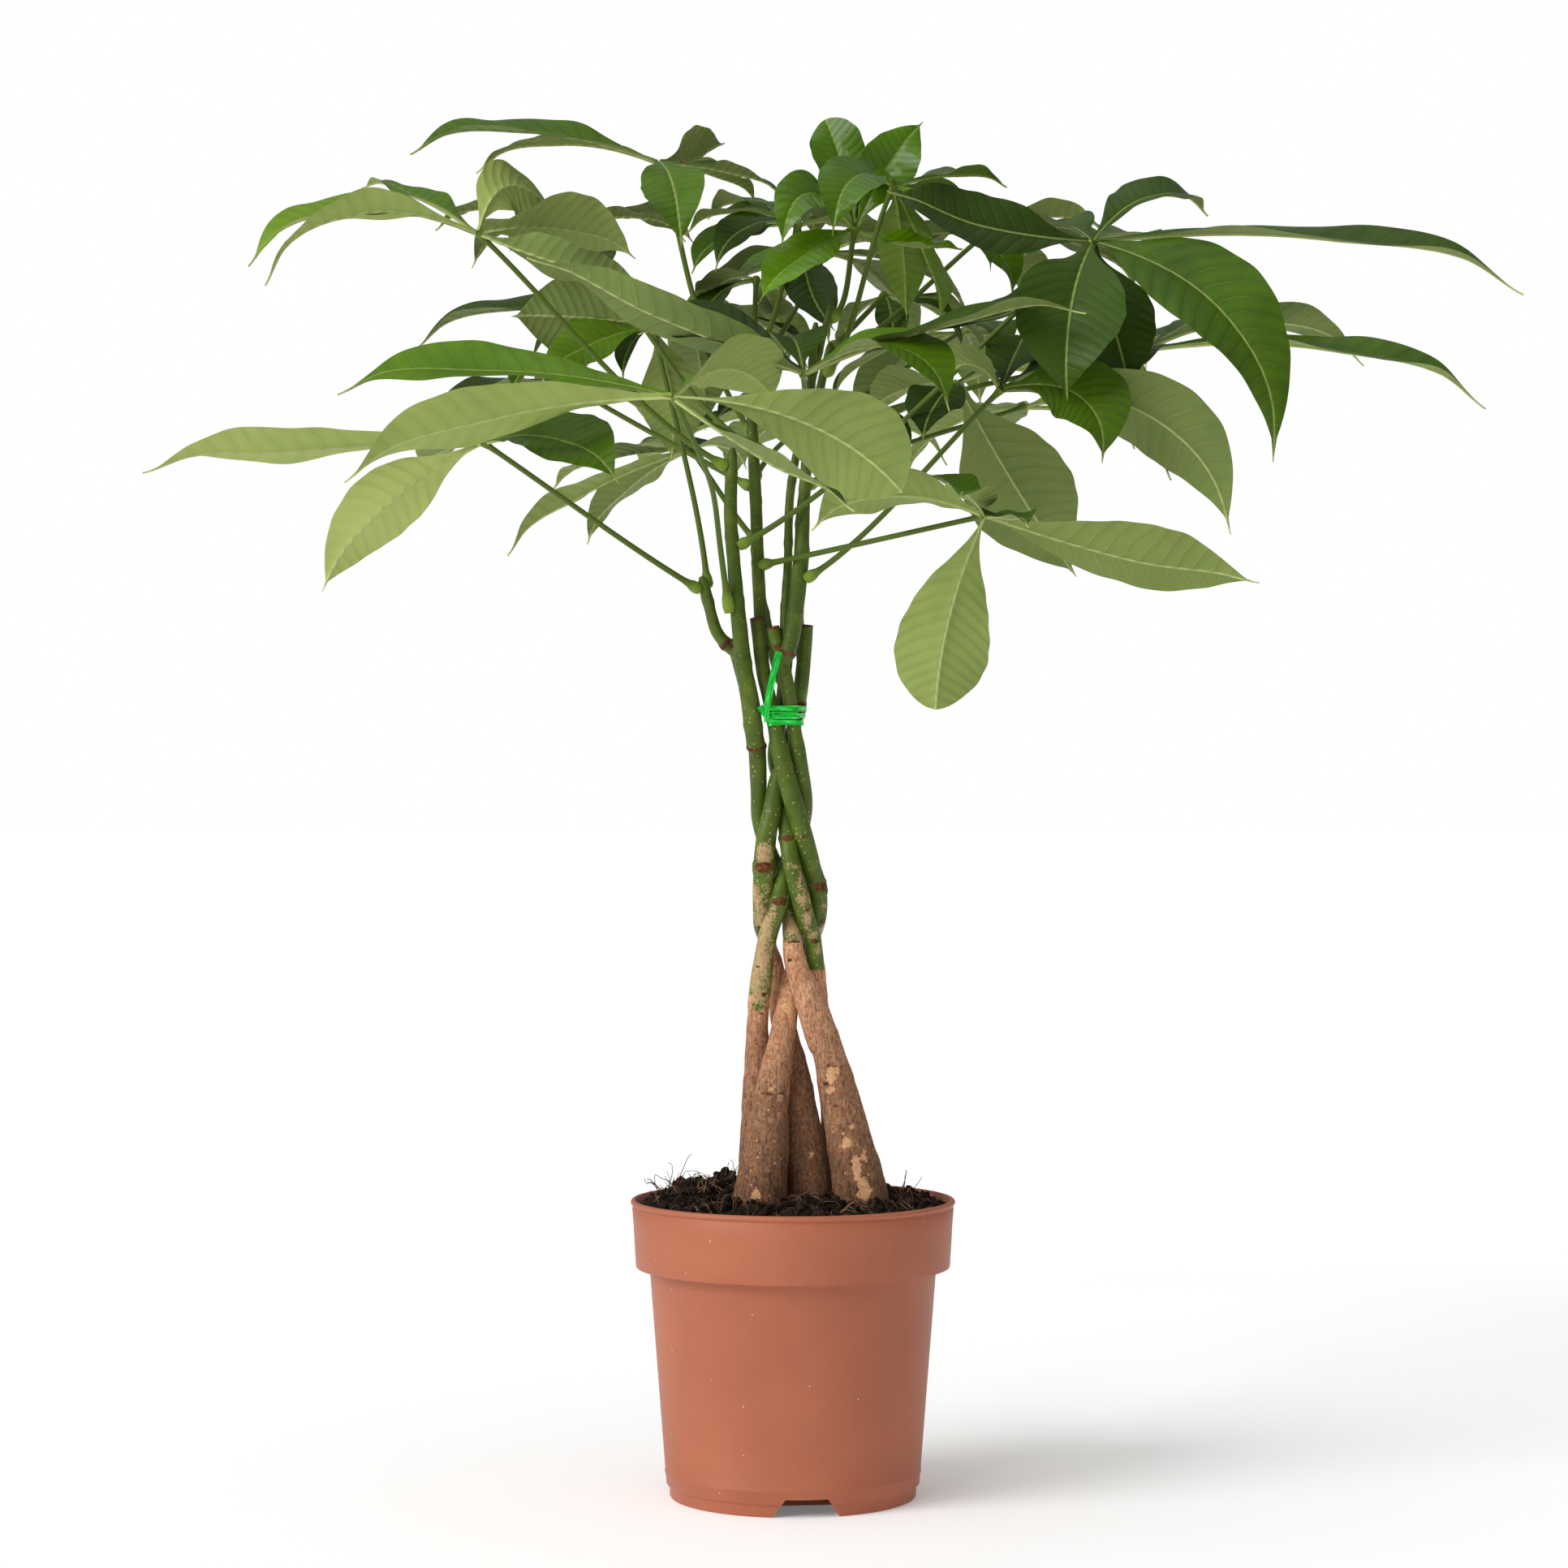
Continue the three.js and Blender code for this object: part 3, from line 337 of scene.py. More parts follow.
# Trees: routes of the stems and shoots [x, y, z, radius], as they stand in the frame.
# brown is the height up to which the bark is brown. Each scar, and each pale patch where the
# bark has flaked, is [height, degrees round the stem, half width, half height].
trees = {
    "tree_front_left": {
        "brown": 287,
        "stem": [
            [-22, -24, 112, 15.3], [-16.7, -22, 158, 14.3], [-11.9, -19, 205, 9.6], [-4.9, -13.8, 245, 7],
            [-0.8, -4, 268, 5.3], [4, 3.5, 282, 4.9], [10, 4, 294, 4.4], [12.9, -0.5, 306, 4.5],
            [12.1, -1.2, 320, 4.8], [9.2, -5.5, 330, 4.8], [4.5, -9.5, 349, 4.5], [-0.8, -11, 367, 4.5],
            [-5.3, -10.2, 384, 4.2], [-8.5, -8.8, 399, 4], [-11, -6.5, 412, 3.8], [-15.5, -2, 432, 3.7],
            [-19, 0.5, 460, 3.7]],
        "shoots": {
            "centreBack": [
                [-16, 0, 438, 2.6], [-16.5, 4.5, 452, 3.4], [-18, 7, 480, 3.4], [-20, 8, 533, 3.1],
                [-22, 9, 575, 2.6], [-21, 10, 610, 1.9]]},
        "scars": [[320.6, -52, 4.6, 3.4], [301, -60, 1.6, 1.4], [213, -95, 12, 0.5], [346, -84, 1.6, 1]],
        "patches": [
            [309, -50, 1.2, 2.2], [296, -30, 3.4, 5], [257, -70, 6, 3], [250, -50, 3, 6],
            [214, -82, 3.6, 0.9], [161, -104, 2.8, 3.6], [211, -64, 1.4, 3.4], [202, -60, 1.2, 3.4]]},
    "tree_middle": {
        "brown": 293,
        "stem": [
            [9.6, -8, 112, 13.8], [8.6, -7.5, 158, 13.2], [3, -1, 208, 8.7], [-1.6, 2.5, 236, 6.3],
            [-6, 5, 250, 5.8], [-8, 6.4, 262, 5], [-9.8, 4.4, 278, 4.3], [-15.4, -2.2, 297, 4.4],
            [-15.8, -5.5, 307, 4.7], [-15.3, -8.3, 321, 5], [-14.3, -10, 342, 4.7], [-11.3, -8.5, 357, 4.3],
            [-8.6, -2.5, 373, 4], [-3.8, 1.5, 386, 3.9], [-0.5, 4, 399, 3.8], [3, 5, 415, 3.8],
            [5.5, 5.5, 436, 3.7], [7.2, 6, 456.5, 3.5]],
        "shoots": {
            "rightBack": [
                [5, 6, 428, 2.6], [5.2, 13, 438, 3.2], [4, 19, 450, 3.2], [2.6, 21.5, 462, 3.2],
                [3.5, 23, 494, 3], [5.5, 25, 525, 2.9], [12, 27, 570, 2.5], [20, 28, 608, 1.9]]},
        "scars": [[330, -90, 5.6, 3.6], [414.5, -70, 3, 2], [299, -110, 1.2, 2], [290, -80, 4, 0.5]],
        "patches": [
            [336.5, -96, 3.6, 4.8], [312, -130, 3.4, 9], [303, -90, 5, 8], [297, -50, 2, 8],
            [317, -62, 1.2, 5], [180, -74, 1.1, 1.6]]},
    "tree_front_right": {
        "brown": 291.5,
        "stem": [
            [41, -22, 112, 15], [35.4, -20, 158, 14.2], [20.2, -17, 226.6, 8.8], [15.6, -16.3, 240, 8.8],
            [10.6, -15.5, 254, 8.1], [1.5, -15, 280, 6.2], [-0.2, -12.5, 291, 5], [-1.4, -6.5, 300, 3.8],
            [-3, -1.5, 311, 3.7], [-7.5, 4.5, 326, 3.7], [-14, 6, 341, 3.7], [-17.5, 3.5, 356, 3.8],
            [-18, 0.5, 368, 3.8], [-18.4, -2, 384, 3.9], [-19.5, -2.5, 398, 3.9], [-22, -0.5, 412, 3.8],
            [-26.5, 2.5, 430, 3.5], [-32, 4.5, 449, 3.3]],
        "shoots": {
            "leftMain": [
                [-18.5, -4, 388, 3.6], [-20, -8, 397, 4.8], [-22.4, -8.8, 416, 4.9],
                [-25.6, -8.8, 434, 4.4], [-28.5, -8, 460, 4.1], [-30.7, -6, 486, 3.6],
                [-32.6, -4, 512, 3.6], [-32.4, -3, 532, 3.3], [-31.6, -2, 549, 2.3]],
            "leftSmall": [
                [-31, 4.4, 442, 2.6], [-36, 4, 447.5, 3.1], [-40.6, 2.5, 454.1, 3.1],
                [-43.6, 1.5, 464.8, 3], [-46, 0.5, 474.4, 3], [-48, 0, 482, 2.5]]},
        "scars": [
            [291.5, -90, 5.5, 0.5], [393.4, -100, 5, 1.6], [446, -130, 2.6, 2.2], [218, -124, 2, 1.6],
            [227, -84, 5, 0.35], [281, -120, 1.6, 1], [207, -108, 1.5, 1.5], [176, -92, 3, 0.6]],
        "patches": [
            [298, -90, 6.5, 8.6], [221, -105, 2.4, 4.2], [215, -112, 2.6, 2.2], [225.5, -78, 1.8, 1.8],
            [186.5, -100, 3.2, 3], [174, -87, 2.6, 8], [164, -80, 4.2, 8], [195, -75, 1.2, 1],
            [182, -62, 0.8, 2], [193, -104, 1.3, 0.8], [205, -88, 0.8, 0.8]]},
    "tree_left_behind": {
        "brown": 263,
        "stem": [
            [-22.5, 2.5, 112, 9], [-21.5, 1, 158, 7.8], [-19.8, -2.6, 205, 7.1], [-18.5, -5, 235, 6.3],
            [-18.3, -8, 252, 5.9], [-16.6, -11, 271, 5.6], [-13.2, -13.2, 293, 4.6], [-8, -13.6, 309, 3.9],
            [-4.9, -6, 325, 3.7], [-1.2, 0.5, 337, 3.7], [3.2, 2, 346, 3.8], [5.4, 0.4, 356, 3.9],
            [5.6, -1.4, 367, 3.9], [3.2, -4.2, 384, 3.8], [1, -5, 399, 3.8], [-1, -6, 412, 3.7],
            [-3.8, -6.5, 429, 3.6], [-10.6, -4.5, 455, 3.4]],
        "shoots": {
            "rightMain": [
                [-4.5, -6.6, 436, 3.2], [-1.5, -8, 446, 4.2], [0.9, -8, 460, 4.3], [4, -7, 488, 4.2],
                [5.4, -6.4, 502, 3.2], [6.3, -5, 530, 3], [9, -3, 575, 2.5], [12, -2, 615, 1.9]],
            "topYoung": [
                [-5.4, -5.5, 438, 2], [-4.4, -2.5, 450, 2.5], [-4.2, 0, 462, 2.5], [-2.6, 2.5, 490, 2.3],
                [-1, 3.5, 529, 2.2], [8, 3, 575, 2], [20, 0, 625, 1.7]]},
        "scars": [
            [312, -84, 4.4, 2.8], [253.5, -90, 6, 0.4], [277.5, -110, 4, 0.3], [264, -64, 1.5, 1.5],
            [445, -75, 2.8, 2.4]],
        "patches": [
            [306, -110, 1.8, 6], [298, -124, 4, 8], [284, -128, 6, 16], [270, -130, 6.5, 11],
            [277, -96, 2, 8]],
        "greens": [[262, -76, 3.8, 4.2], [258, -90, 3, 2.4]]},
    "tree_right_behind": {
        "brown": 276,
        "stem": [
            [27, 12, 112, 10], [25, 10, 158, 8.8], [20.6, 7.2, 205, 6.6], [16.6, 3.4, 235, 5.7],
            [14, -0.6, 256, 5.2], [11.6, -5.6, 278, 4.8], [10.2, -7, 291, 4.5], [7.8, -10.2, 299, 4.3],
            [5.8, -12, 306, 4.3], [3, -13.6, 317, 4.3], [-0.6, -13.2, 331, 4.1], [-2.6, -10.2, 342, 3.7],
            [-4, -3, 356, 3.5], [-4.2, 3, 366, 3.5], [-7, 7.5, 376, 3.6], [-9, 9.6, 386, 3.7],
            [-8, 11, 399, 3.7], [-6, 12, 414, 3.6], [-4, 13.5, 434, 3.5], [-3, 15, 452, 3.4]],
        "shoots": {
            "back": [
                [-5, 13, 424, 2.6], [-8.5, 18.6, 436, 3.2], [-14, 22.5, 456, 3.2], [-18.3, 25, 480, 3.1],
                [-19.6, 29, 510, 2.9], [-21.8, 34, 565, 2.5], [-21, 38, 605, 1.9]]},
        "scars": [[345, -90, 3.8, 2], [291, -75, 2.4, 1.5], [308, -60, 1.4, 1.4]],
        "patches": [
            [322, -70, 0.9, 9], [313, -76, 1.5, 6], [306, -68, 2, 7], [300, -96, 0.8, 6],
            [294.5, -78, 3.2, 2], [330, -56, 2.4, 0.8], [287, -60, 0.8, 1]]},
}
trunkForm = {
    "sides": 48, "step": 1.2, "shootSides": 18, "shootStep": 2,
    "fissure": 0.3, "lumps": (0.7, 1.1),  # mm of relief of the bark
    "knob": 0.6, "scarDepth": 0.4,  # mm that a scar's rim stands out and its middle lies lower
    "rimPlace": 1.3, "rimWidth": 0.35,  # as shares of the scar's size
    "crack": 0.28,  # mm by which a flaked patch lies lower
    "pressed": 0.6,  # mm by which the stems are fuller where they press on each other
    "pressedFrom": (285, 300), "pressedTo": (392, 400),
    "collar": 0.9, "collarPlace": 7, "collarWidth": 1.7, "joint": 0.35,  # of a shoot
    "shootEnd": (1, 0.98, 0.85, 0.5),  # its rounded end, as shares of the radius
}


def barkAndGreenStem():
    # the lower stem has dry brown bark, finely cracked along its length, with flaked tan patches;
    # above, the young bark is smooth, green and slightly waxy, with scattered pale breathing pores
    material, tree = newMaterial("braidedStemBark")
    place = addNode(tree, "TexCoord").outputs["Object"]
    marks = addNode(tree, "Attribute", {"attribute_name": "marks"})
    parts = addNode(tree, "SeparateXYZ", {"Vector": marks.outputs["Vector"]})
    aboveBrown, inPatch, scar = parts.outputs  # millimetres above the brown and inside a patch
    height = addNode(tree, "SeparateXYZ", {"Vector": place}).outputs[2]
    # frayed edges of all that lies on the bark, 1.2 mm fine
    edge = addNode(tree, "TexNoise", {"Vector": place, "Scale": 800.0, "Detail": 3.0, "Roughness": 0.7})
    ragged = addNode(tree, "Math", {"operation": "MULTIPLY_ADD", 0: edge, 1: 11.0, 2: -5.5})
    brownEdge = addNode(tree, "Math", {"operation": "MULTIPLY_ADD", 0: ragged, 1: 0.4, 2: aboveBrown})
    brown = addNode(tree, "MapRange", {"Value": brownEdge, "From Min": 0.3, "From Max": -0.3})
    # flakes come off in lobes of about 6 mm
    lobes = addNode(tree, "TexNoise", {"Vector": place, "Scale": 170.0, "Detail": 3.0})
    lobed = addNode(tree, "Math", {"operation": "MULTIPLY_ADD", 0: lobes, 1: 6.0, 2: -3.0})
    inLobe = addNode(tree, "Math", {"operation": "ADD", 0: lobed, 1: inPatch})
    patchEdge = addNode(tree, "Math", {"operation": "MULTIPLY_ADD", 0: ragged, 1: 0.25, 2: inLobe})
    speckled = addNode(tree, "Math", {"operation": "ADD", 0: ragged, 1: inLobe})
    dryPatch = addNode(tree, "MapRange", {"Value": speckled, "From Min": -0.7, "From Max": 0.8})
    patch = addNode(tree, "MapRange", {"Value": patchEdge, "From Min": -0.1, "From Max": 0.25})
    # cracks 1 mm apart, drawn out eight times along the stem, with 1.6 mm grain between them
    squeezed = addNode(tree, "Mapping", {"Vector": place, "Scale": (1.0, 1.0, 0.12)})
    cracks = addNode(tree, "TexNoise", {"Vector": squeezed, "Scale": 1000.0, "Detail": 4.0, "Roughness": 0.7})
    grain = addNode(tree, "TexNoise", {"Vector": place, "Scale": 620.0, "Detail": 3.0, "Roughness": 0.7})
    fine = addNode(tree, "MixRGB", {"Fac": 0.4, "Color1": cracks, "Color2": grain})
    # light and dark areas 17 mm across; the bark is lighter towards its top, partly its own colour and partly
    # painted light on the lit middle of the stems
    mottle = addNode(tree, "TexNoise", {"Vector": place, "Scale": 60.0, "Detail": 4.0, "Roughness": 0.6})
    # painted light in part: the bark colour lightens with height, up to the lit middle and top of the brown
    # bark
    byHeight = addNode(tree, "MapRange", {"Value": height, "From Min": 0.155, "From Max": 0.272})
    mottleShift = addNode(tree, "Math", {"operation": "MULTIPLY_ADD", 0: mottle, 1: 0.7, 2: -0.35})
    heightAndMottle = addNode(tree, "Math", {"operation": "ADD", 0: byHeight, 1: mottleShift})
    dark, light = [addNode(tree, "ValToRGB", {"Fac": heightAndMottle, "stops": list(zip((0.0, 0.5, 1.0), colours))})
                   for colours in (("#432B1E", "#6E4A35", "#99694C"), ("#7E5C43", "#AD8262", "#DEAA82"))]
    depth = addNode(tree, "MapRange", {"Value": fine, "From Min": 0.41, "From Max": 0.58})
    plain = addNode(tree, "MixRGB", {"Fac": depth, "Color1": dark, "Color2": light})
    # rusty blotches, 8 mm across
    blotch = addNode(tree, "TexNoise", {"Vector": place, "Scale": 130.0, "Detail": 4.0, "Roughness": 0.7})
    rusty = addNode(tree, "MapRange", {"Value": blotch, "From Min": 0.5, "From Max": 0.66, "To Max": 0.4})
    bark = addNode(tree, "MixRGB", {"Fac": rusty, "Color1": plain, "Color2": "#9C5C3A"})
    # corky specks, 1 mm across and about 3 mm apart: tan ones and rust-brown ones
    specks = addNode(tree, "TexVoronoi", {"Vector": place, "Scale": 330.0})
    kind = addNode(tree, "SeparateColor", {"Color": specks.outputs["Color"]})
    bitten = addNode(tree, "Math", {"operation": "MULTIPLY_ADD", 0: grain, 1: 0.5, 2: -0.25})
    uneven = addNode(tree, "Math", {"operation": "ADD", 0: bitten, 1: specks})
    dot = addNode(tree, "MapRange", {"Value": uneven, "From Min": 0.24, "From Max": 0.12})
    for test, limit, dotColour in (("GREATER_THAN", 0.74, "#D0955F"), ("LESS_THAN", 0.3, "#A0592F")):
        chosen = addNode(tree, "Math", {"operation": test, 0: kind, 1: limit})
        shown = addNode(tree, "Math", {"operation": "MULTIPLY", 0: dot, 1: chosen})
        bark = addNode(tree, "MixRGB", {"Fac": shown, "Color1": bark, "Color2": dotColour})
    tan = addNode(tree, "ValToRGB", {"Fac": grain, "stops": [(0.35, "#B88558"), (0.65, "#DDB084")]})
    brownBark = addNode(tree, "MixRGB", {"Fac": patch, "Color1": bark, "Color2": tan})
    fresh = addNode(tree, "ValToRGB", {
        "Fac": mottle, "stops": [(0.3, "#3D4F17"), (0.55, "#52651D"), (0.75, "#687C2B")]})
    pores = addNode(tree, "TexVoronoi", {"Vector": place, "Scale": 450.0})  # pores 2.2 mm apart
    pore = addNode(tree, "MapRange", {"Value": pores, "From Min": 0.21, "From Max": 0.13})
    cell = addNode(tree, "SeparateColor", {"Color": pores.outputs["Color"]})
    chosen = addNode(tree, "Math", {"operation": "GREATER_THAN", 0: cell, 1: 0.5})
    fewer = addNode(tree, "MapRange", {  # fainter on the young shoots
        "Value": height, "From Min": 0.39, "From Max": 0.43, "To Min": 0.9, "To Max": 0.3})
    for factor in (chosen, fewer):
        pore = addNode(tree, "Math", {"operation": "MULTIPLY", 0: pore, 1: factor})
    colour = addNode(tree, "MixRGB", {"Fac": pore, "Color1": fresh, "Color2": "#C6BF86"})
    beige = addNode(tree, "ValToRGB", {"Fac": fine, "stops": [(0.38, "#94784F"), (0.62, "#C5A87A")]})
    scarEdge = addNode(tree, "Math", {"operation": "MULTIPLY_ADD", 0: ragged, 1: 0.05, 2: scar})
    scarShown = addNode(tree, "MapRange", {"Value": scarEdge, "From Min": 0.42, "From Max": 0.58})
    healed = addNode(tree, "ValToRGB", {"Fac": grain, "stops": [(0.38, "#3A2210"), (0.62, "#7C4E2A")]})
    for share, over in ((dryPatch, beige), (brown, brownBark), (scarShown, healed)):
        colour = addNode(tree, "MixRGB", {"Fac": share, "Color1": colour, "Color2": over})
    dull = addNode(tree, "Math", {"operation": "MAXIMUM", 0: brown, 1: scarShown})
    rough = addNode(tree, "MapRange", {"Value": dull, "To Min": 0.42, "To Max": 0.85})
    deep = addNode(tree, "Math", {"operation": "MULTIPLY", 0: fine, 1: brown})
    bump = addNode(tree, "Bump", {"Height": deep, "Strength": 0.8, "Distance": 0.0008})
    return surfaced(material, {
        "Base Color": colour, "Roughness": rough, "Normal": bump, "IOR": 1.45, "Specular IOR Level": 0.3})


def cutWood():
    # pruned ends have dried to a reddish brown with a darker rim
    return grainyMaterial("driedCutWood", {"Roughness": 0.8}, {"Scale": 420.0, "Detail": 4.0},
                          [(0.35, "#5E3A2B"), (0.65, "#9A6A50")])


def makeTrees():
    materials = [barkAndGreenStem(), cutWood()]
    f = trunkForm
    for name, tree in trees.items():
        shape = newShape()
        stemLine = smoothRoute(tree["stem"], f["step"])

        def spots(kind):  # the middles of the scars or patches, on the stem's surface
            found = []
            for height, degreesRound, halfWidth, halfHeight in tree.get(kind, ()):
                station = min(stemLine, key=lambda s: abs(s.z - height))
                reach = levelDirection(math.radians(degreesRound)) * station.w
                found.append((station.xyz + reach, halfWidth, halfHeight))
            return found

        scars, patches, greens = spots("scars"), spots("patches"), spots("greens")

        def scarAt(point):  # (how much a point lies in a scar, how much on its raised rim)
            inside, rim = 0.0, 0.0
            for at, halfWidth, halfHeight in scars:
                away = point - at
                across, up = math.hypot(away.x, away.y) / halfWidth, away.z / halfHeight
                distance = math.hypot(across, up * (1.7 if up > 0 else 1))  # flat above, round below
                inside = max(inside, 1 - smooth(0.7, 1.3, distance))
                fromRim = (distance - f["rimPlace"]) / f["rimWidth"]
                rim = max(rim, min(1, halfHeight) * math.exp(-fromRim ** 2))
            return inside, rim

        def insideSpot(point, spotList):  # millimetres inside the nearest one
            best = -9.0
            for at, halfWidth, halfHeight in spotList:
                away = point - at
                distance = math.hypot(math.hypot(away.x, away.y) / halfWidth, away.z / halfHeight)
                best = max(best, (1 - distance) * min(halfWidth, halfHeight, 3.0))
            return best

        def barkRelief(point, share):
            brownness = 1 - smooth(-4, 4, point.z - tree["brown"])
            lengthwise = noise.noise(Vector((point.x * 0.5, point.y * 0.5, point.z * 0.07)))
            fine = noise.noise(Vector((point.x * 1.4, point.y * 1.4, point.z * 0.25)))
            lumpy = noise.noise(point * 0.11) * f["lumps"][0] + noise.noise(point * 0.045) * f["lumps"][1]
            inside, rim = scarAt(point)
            flaked = smooth(-0.4, 0.4, insideSpot(point, patches)) * brownness
            pressed = f["pressed"] * smooth(*f["pressedFrom"], point.z)
            pressed *= 1 - smooth(*f["pressedTo"], point.z)
            return (pressed + f["fissure"] * (lengthwise + 0.5 * fine) * (0.2 + 0.8 * brownness)
                    + lumpy * (0.2 + 0.5 * brownness) + f["knob"] * rim
                    - f["scarDepth"] * inside - f["crack"] * flaked)

        rings = tubeRings(stemLine, f["sides"], barkRelief)
        middle = sum(rings[-1], Vector()) / f["sides"]
        rings.append([point.lerp(middle, 0.1) + Vector((0, 0, 0.25)) for point in rings[-1]])
        cutAt = stemLine[-1].z

        def marksAt(p):  # millimetres above the brown and inside a patch, and how much it is scarred
            green = 40 * smooth(-0.3, 0.3, insideSpot(p, greens))
            cutRim = 0.75 * smooth(cutAt - 2.2, cutAt - 0.6, p.z)
            return p.z - tree["brown"] + green, insideSpot(p, patches), max(scarAt(p)[0], cutRim)

        addSkin(shape, rings, [[marksAt(p) for p in ring] for ring in rings], capSlots=(0, 1))
        for route in tree["shoots"].values():
            line = smoothRoute(route, f["shootStep"])
            foot = line[0].xyz
            for station, share in zip(line[-4:], f["shootEnd"]):
                station.w *= share

            def shootRelief(point, share):
                collar = math.exp(-(((point - foot).length - f["collarPlace"]) / f["collarWidth"]) ** 2)
                joint = max(0.0, math.sin(point.z * 0.19 + foot.x)) ** 14  # faint leaf joints, 33 mm apart
                relief = f["collar"] * collar + f["joint"] * joint + 0.2 * noise.noise(point * 0.12)
                return relief * (1 - smooth(0.96, 1, share))

            shootRings = tubeRings(line, f["shootSides"], shootRelief)
            shootMarks = [[(60.0, -9.0, 0.9 * math.exp(-(((p - foot).length - 7.3) / 1.5) ** 2))
                           for p in ring] for ring in shootRings]  # green all over, brown at the collar
            addSkin(shape, shootRings, shootMarks)
        newPiece(name.replace("tree", "braided_tree"), shape, materials, name)


makeTrees()
print("braided trees made")

allShoots = {name: route for tree in trees.values() for name, route in tree["shoots"].items()}


def routeAt(route, z):  # centre, radius and direction where a route passes a height
    for low, high in zip(route, route[1:]):
        if high[2] >= z:
            share = (z - low[2]) / (high[2] - low[2])
            both = Vector(low).lerp(Vector(high), share)
            return both.xyz, both.w, (Vector(high[:3]) - Vector(low[:3])).normalized()
    return Vector(route[-1][:3]), route[-1][3], Vector((0, 0, 1))


# Soil: peat-and-bark potting mix with coir fibres
soilForm = {
    "level": 150.8, "mound": 5, "lumps": 3.5, "heap": 7, "edge": 81.2, "depth": 120, "below": 144,
    "rings": 70, "sectors": 200, "reach": 79,  # mm from the middle that crumbs and fibres reach
    "crumbs": 1300, "crumbSize": (0.8, 2.6), "fibres": 420, "fibre": 0.2, "fibreLength": (7, 26),
    "curl": (1.5, 5), "fibrePoints": 9, "tuftFibres": 5, "tuftSpread": 3,
    "tufts": [  # standing fibres: x, y and height
        (-68, 4, 19), (-65, 12, 13), (-60, -4, 14), (-52, 10, 10), (-38, 16, 15), (-44, -6, 8),
        (38, 18, 9), (56, 16, 12), (66, -6, 8), (31, -39, 4), (39, -33, 6), (22, -37, 4),
        (-8, -40, 3), (7, -27, 4)],
}


def soilHeight(x, y):
    fromMiddle = math.hypot(x, y) / potForm["rim"]
    uneven = math.sin(x * 0.16 + 1) * math.cos(y * 0.19) + 0.6 * math.sin(x * 0.31 - y * 0.27 + 2)
    lumps = soilForm["lumps"] * uneven * min(1, 4 * (1 - fromMiddle))
    mound = soilForm["mound"] * max(0, 1 - fromMiddle ** 3)
    heap = soilForm["heap"] * math.exp(-(((x + 45) / 26) ** 2) - ((y - 22) / 30) ** 2)
    return soilForm["level"] + mound + lumps + heap


def clods(x, y):  # the fine lumpiness of the surface, in millimetres
    spot = Vector((x, y, 0))
    return 2.2 * noise.noise(spot * 0.16) + 1.5 * noise.noise(spot * 0.37) + 0.8 * noise.noise(spot * 0.8)


def ground(x, y):
    return soilHeight(x, y) + clods(x, y)


def pottingMix():
    # moist peat and composted bark: nearly black brown, matte, with lighter crumbs 2.6 mm across
    return grainyMaterial("moistPottingMix", {"Roughness": 0.95, "Specular IOR Level": 0.2},
                          {"Scale": 380.0, "Detail": 8.0, "Roughness": 0.75},
                          [(0.38, "#0F0906"), (0.54, "#2A1C14"), (0.68, "#4E3928"), (0.78, "#7C5F45")],
                          {"Strength": 1.0, "Distance": 0.0015})


def coirFibre():
    # dry coconut and root fibres: straw to tan, slightly silky, each in its own tone
    return grainyMaterial("dryCoirFibre", {"Roughness": 0.7}, {"Scale": 60.0, "Detail": 2.0},
                          [(0.35, "#3E2A1D"), (0.5, "#6B4A32"), (0.65, "#A37C5A")])


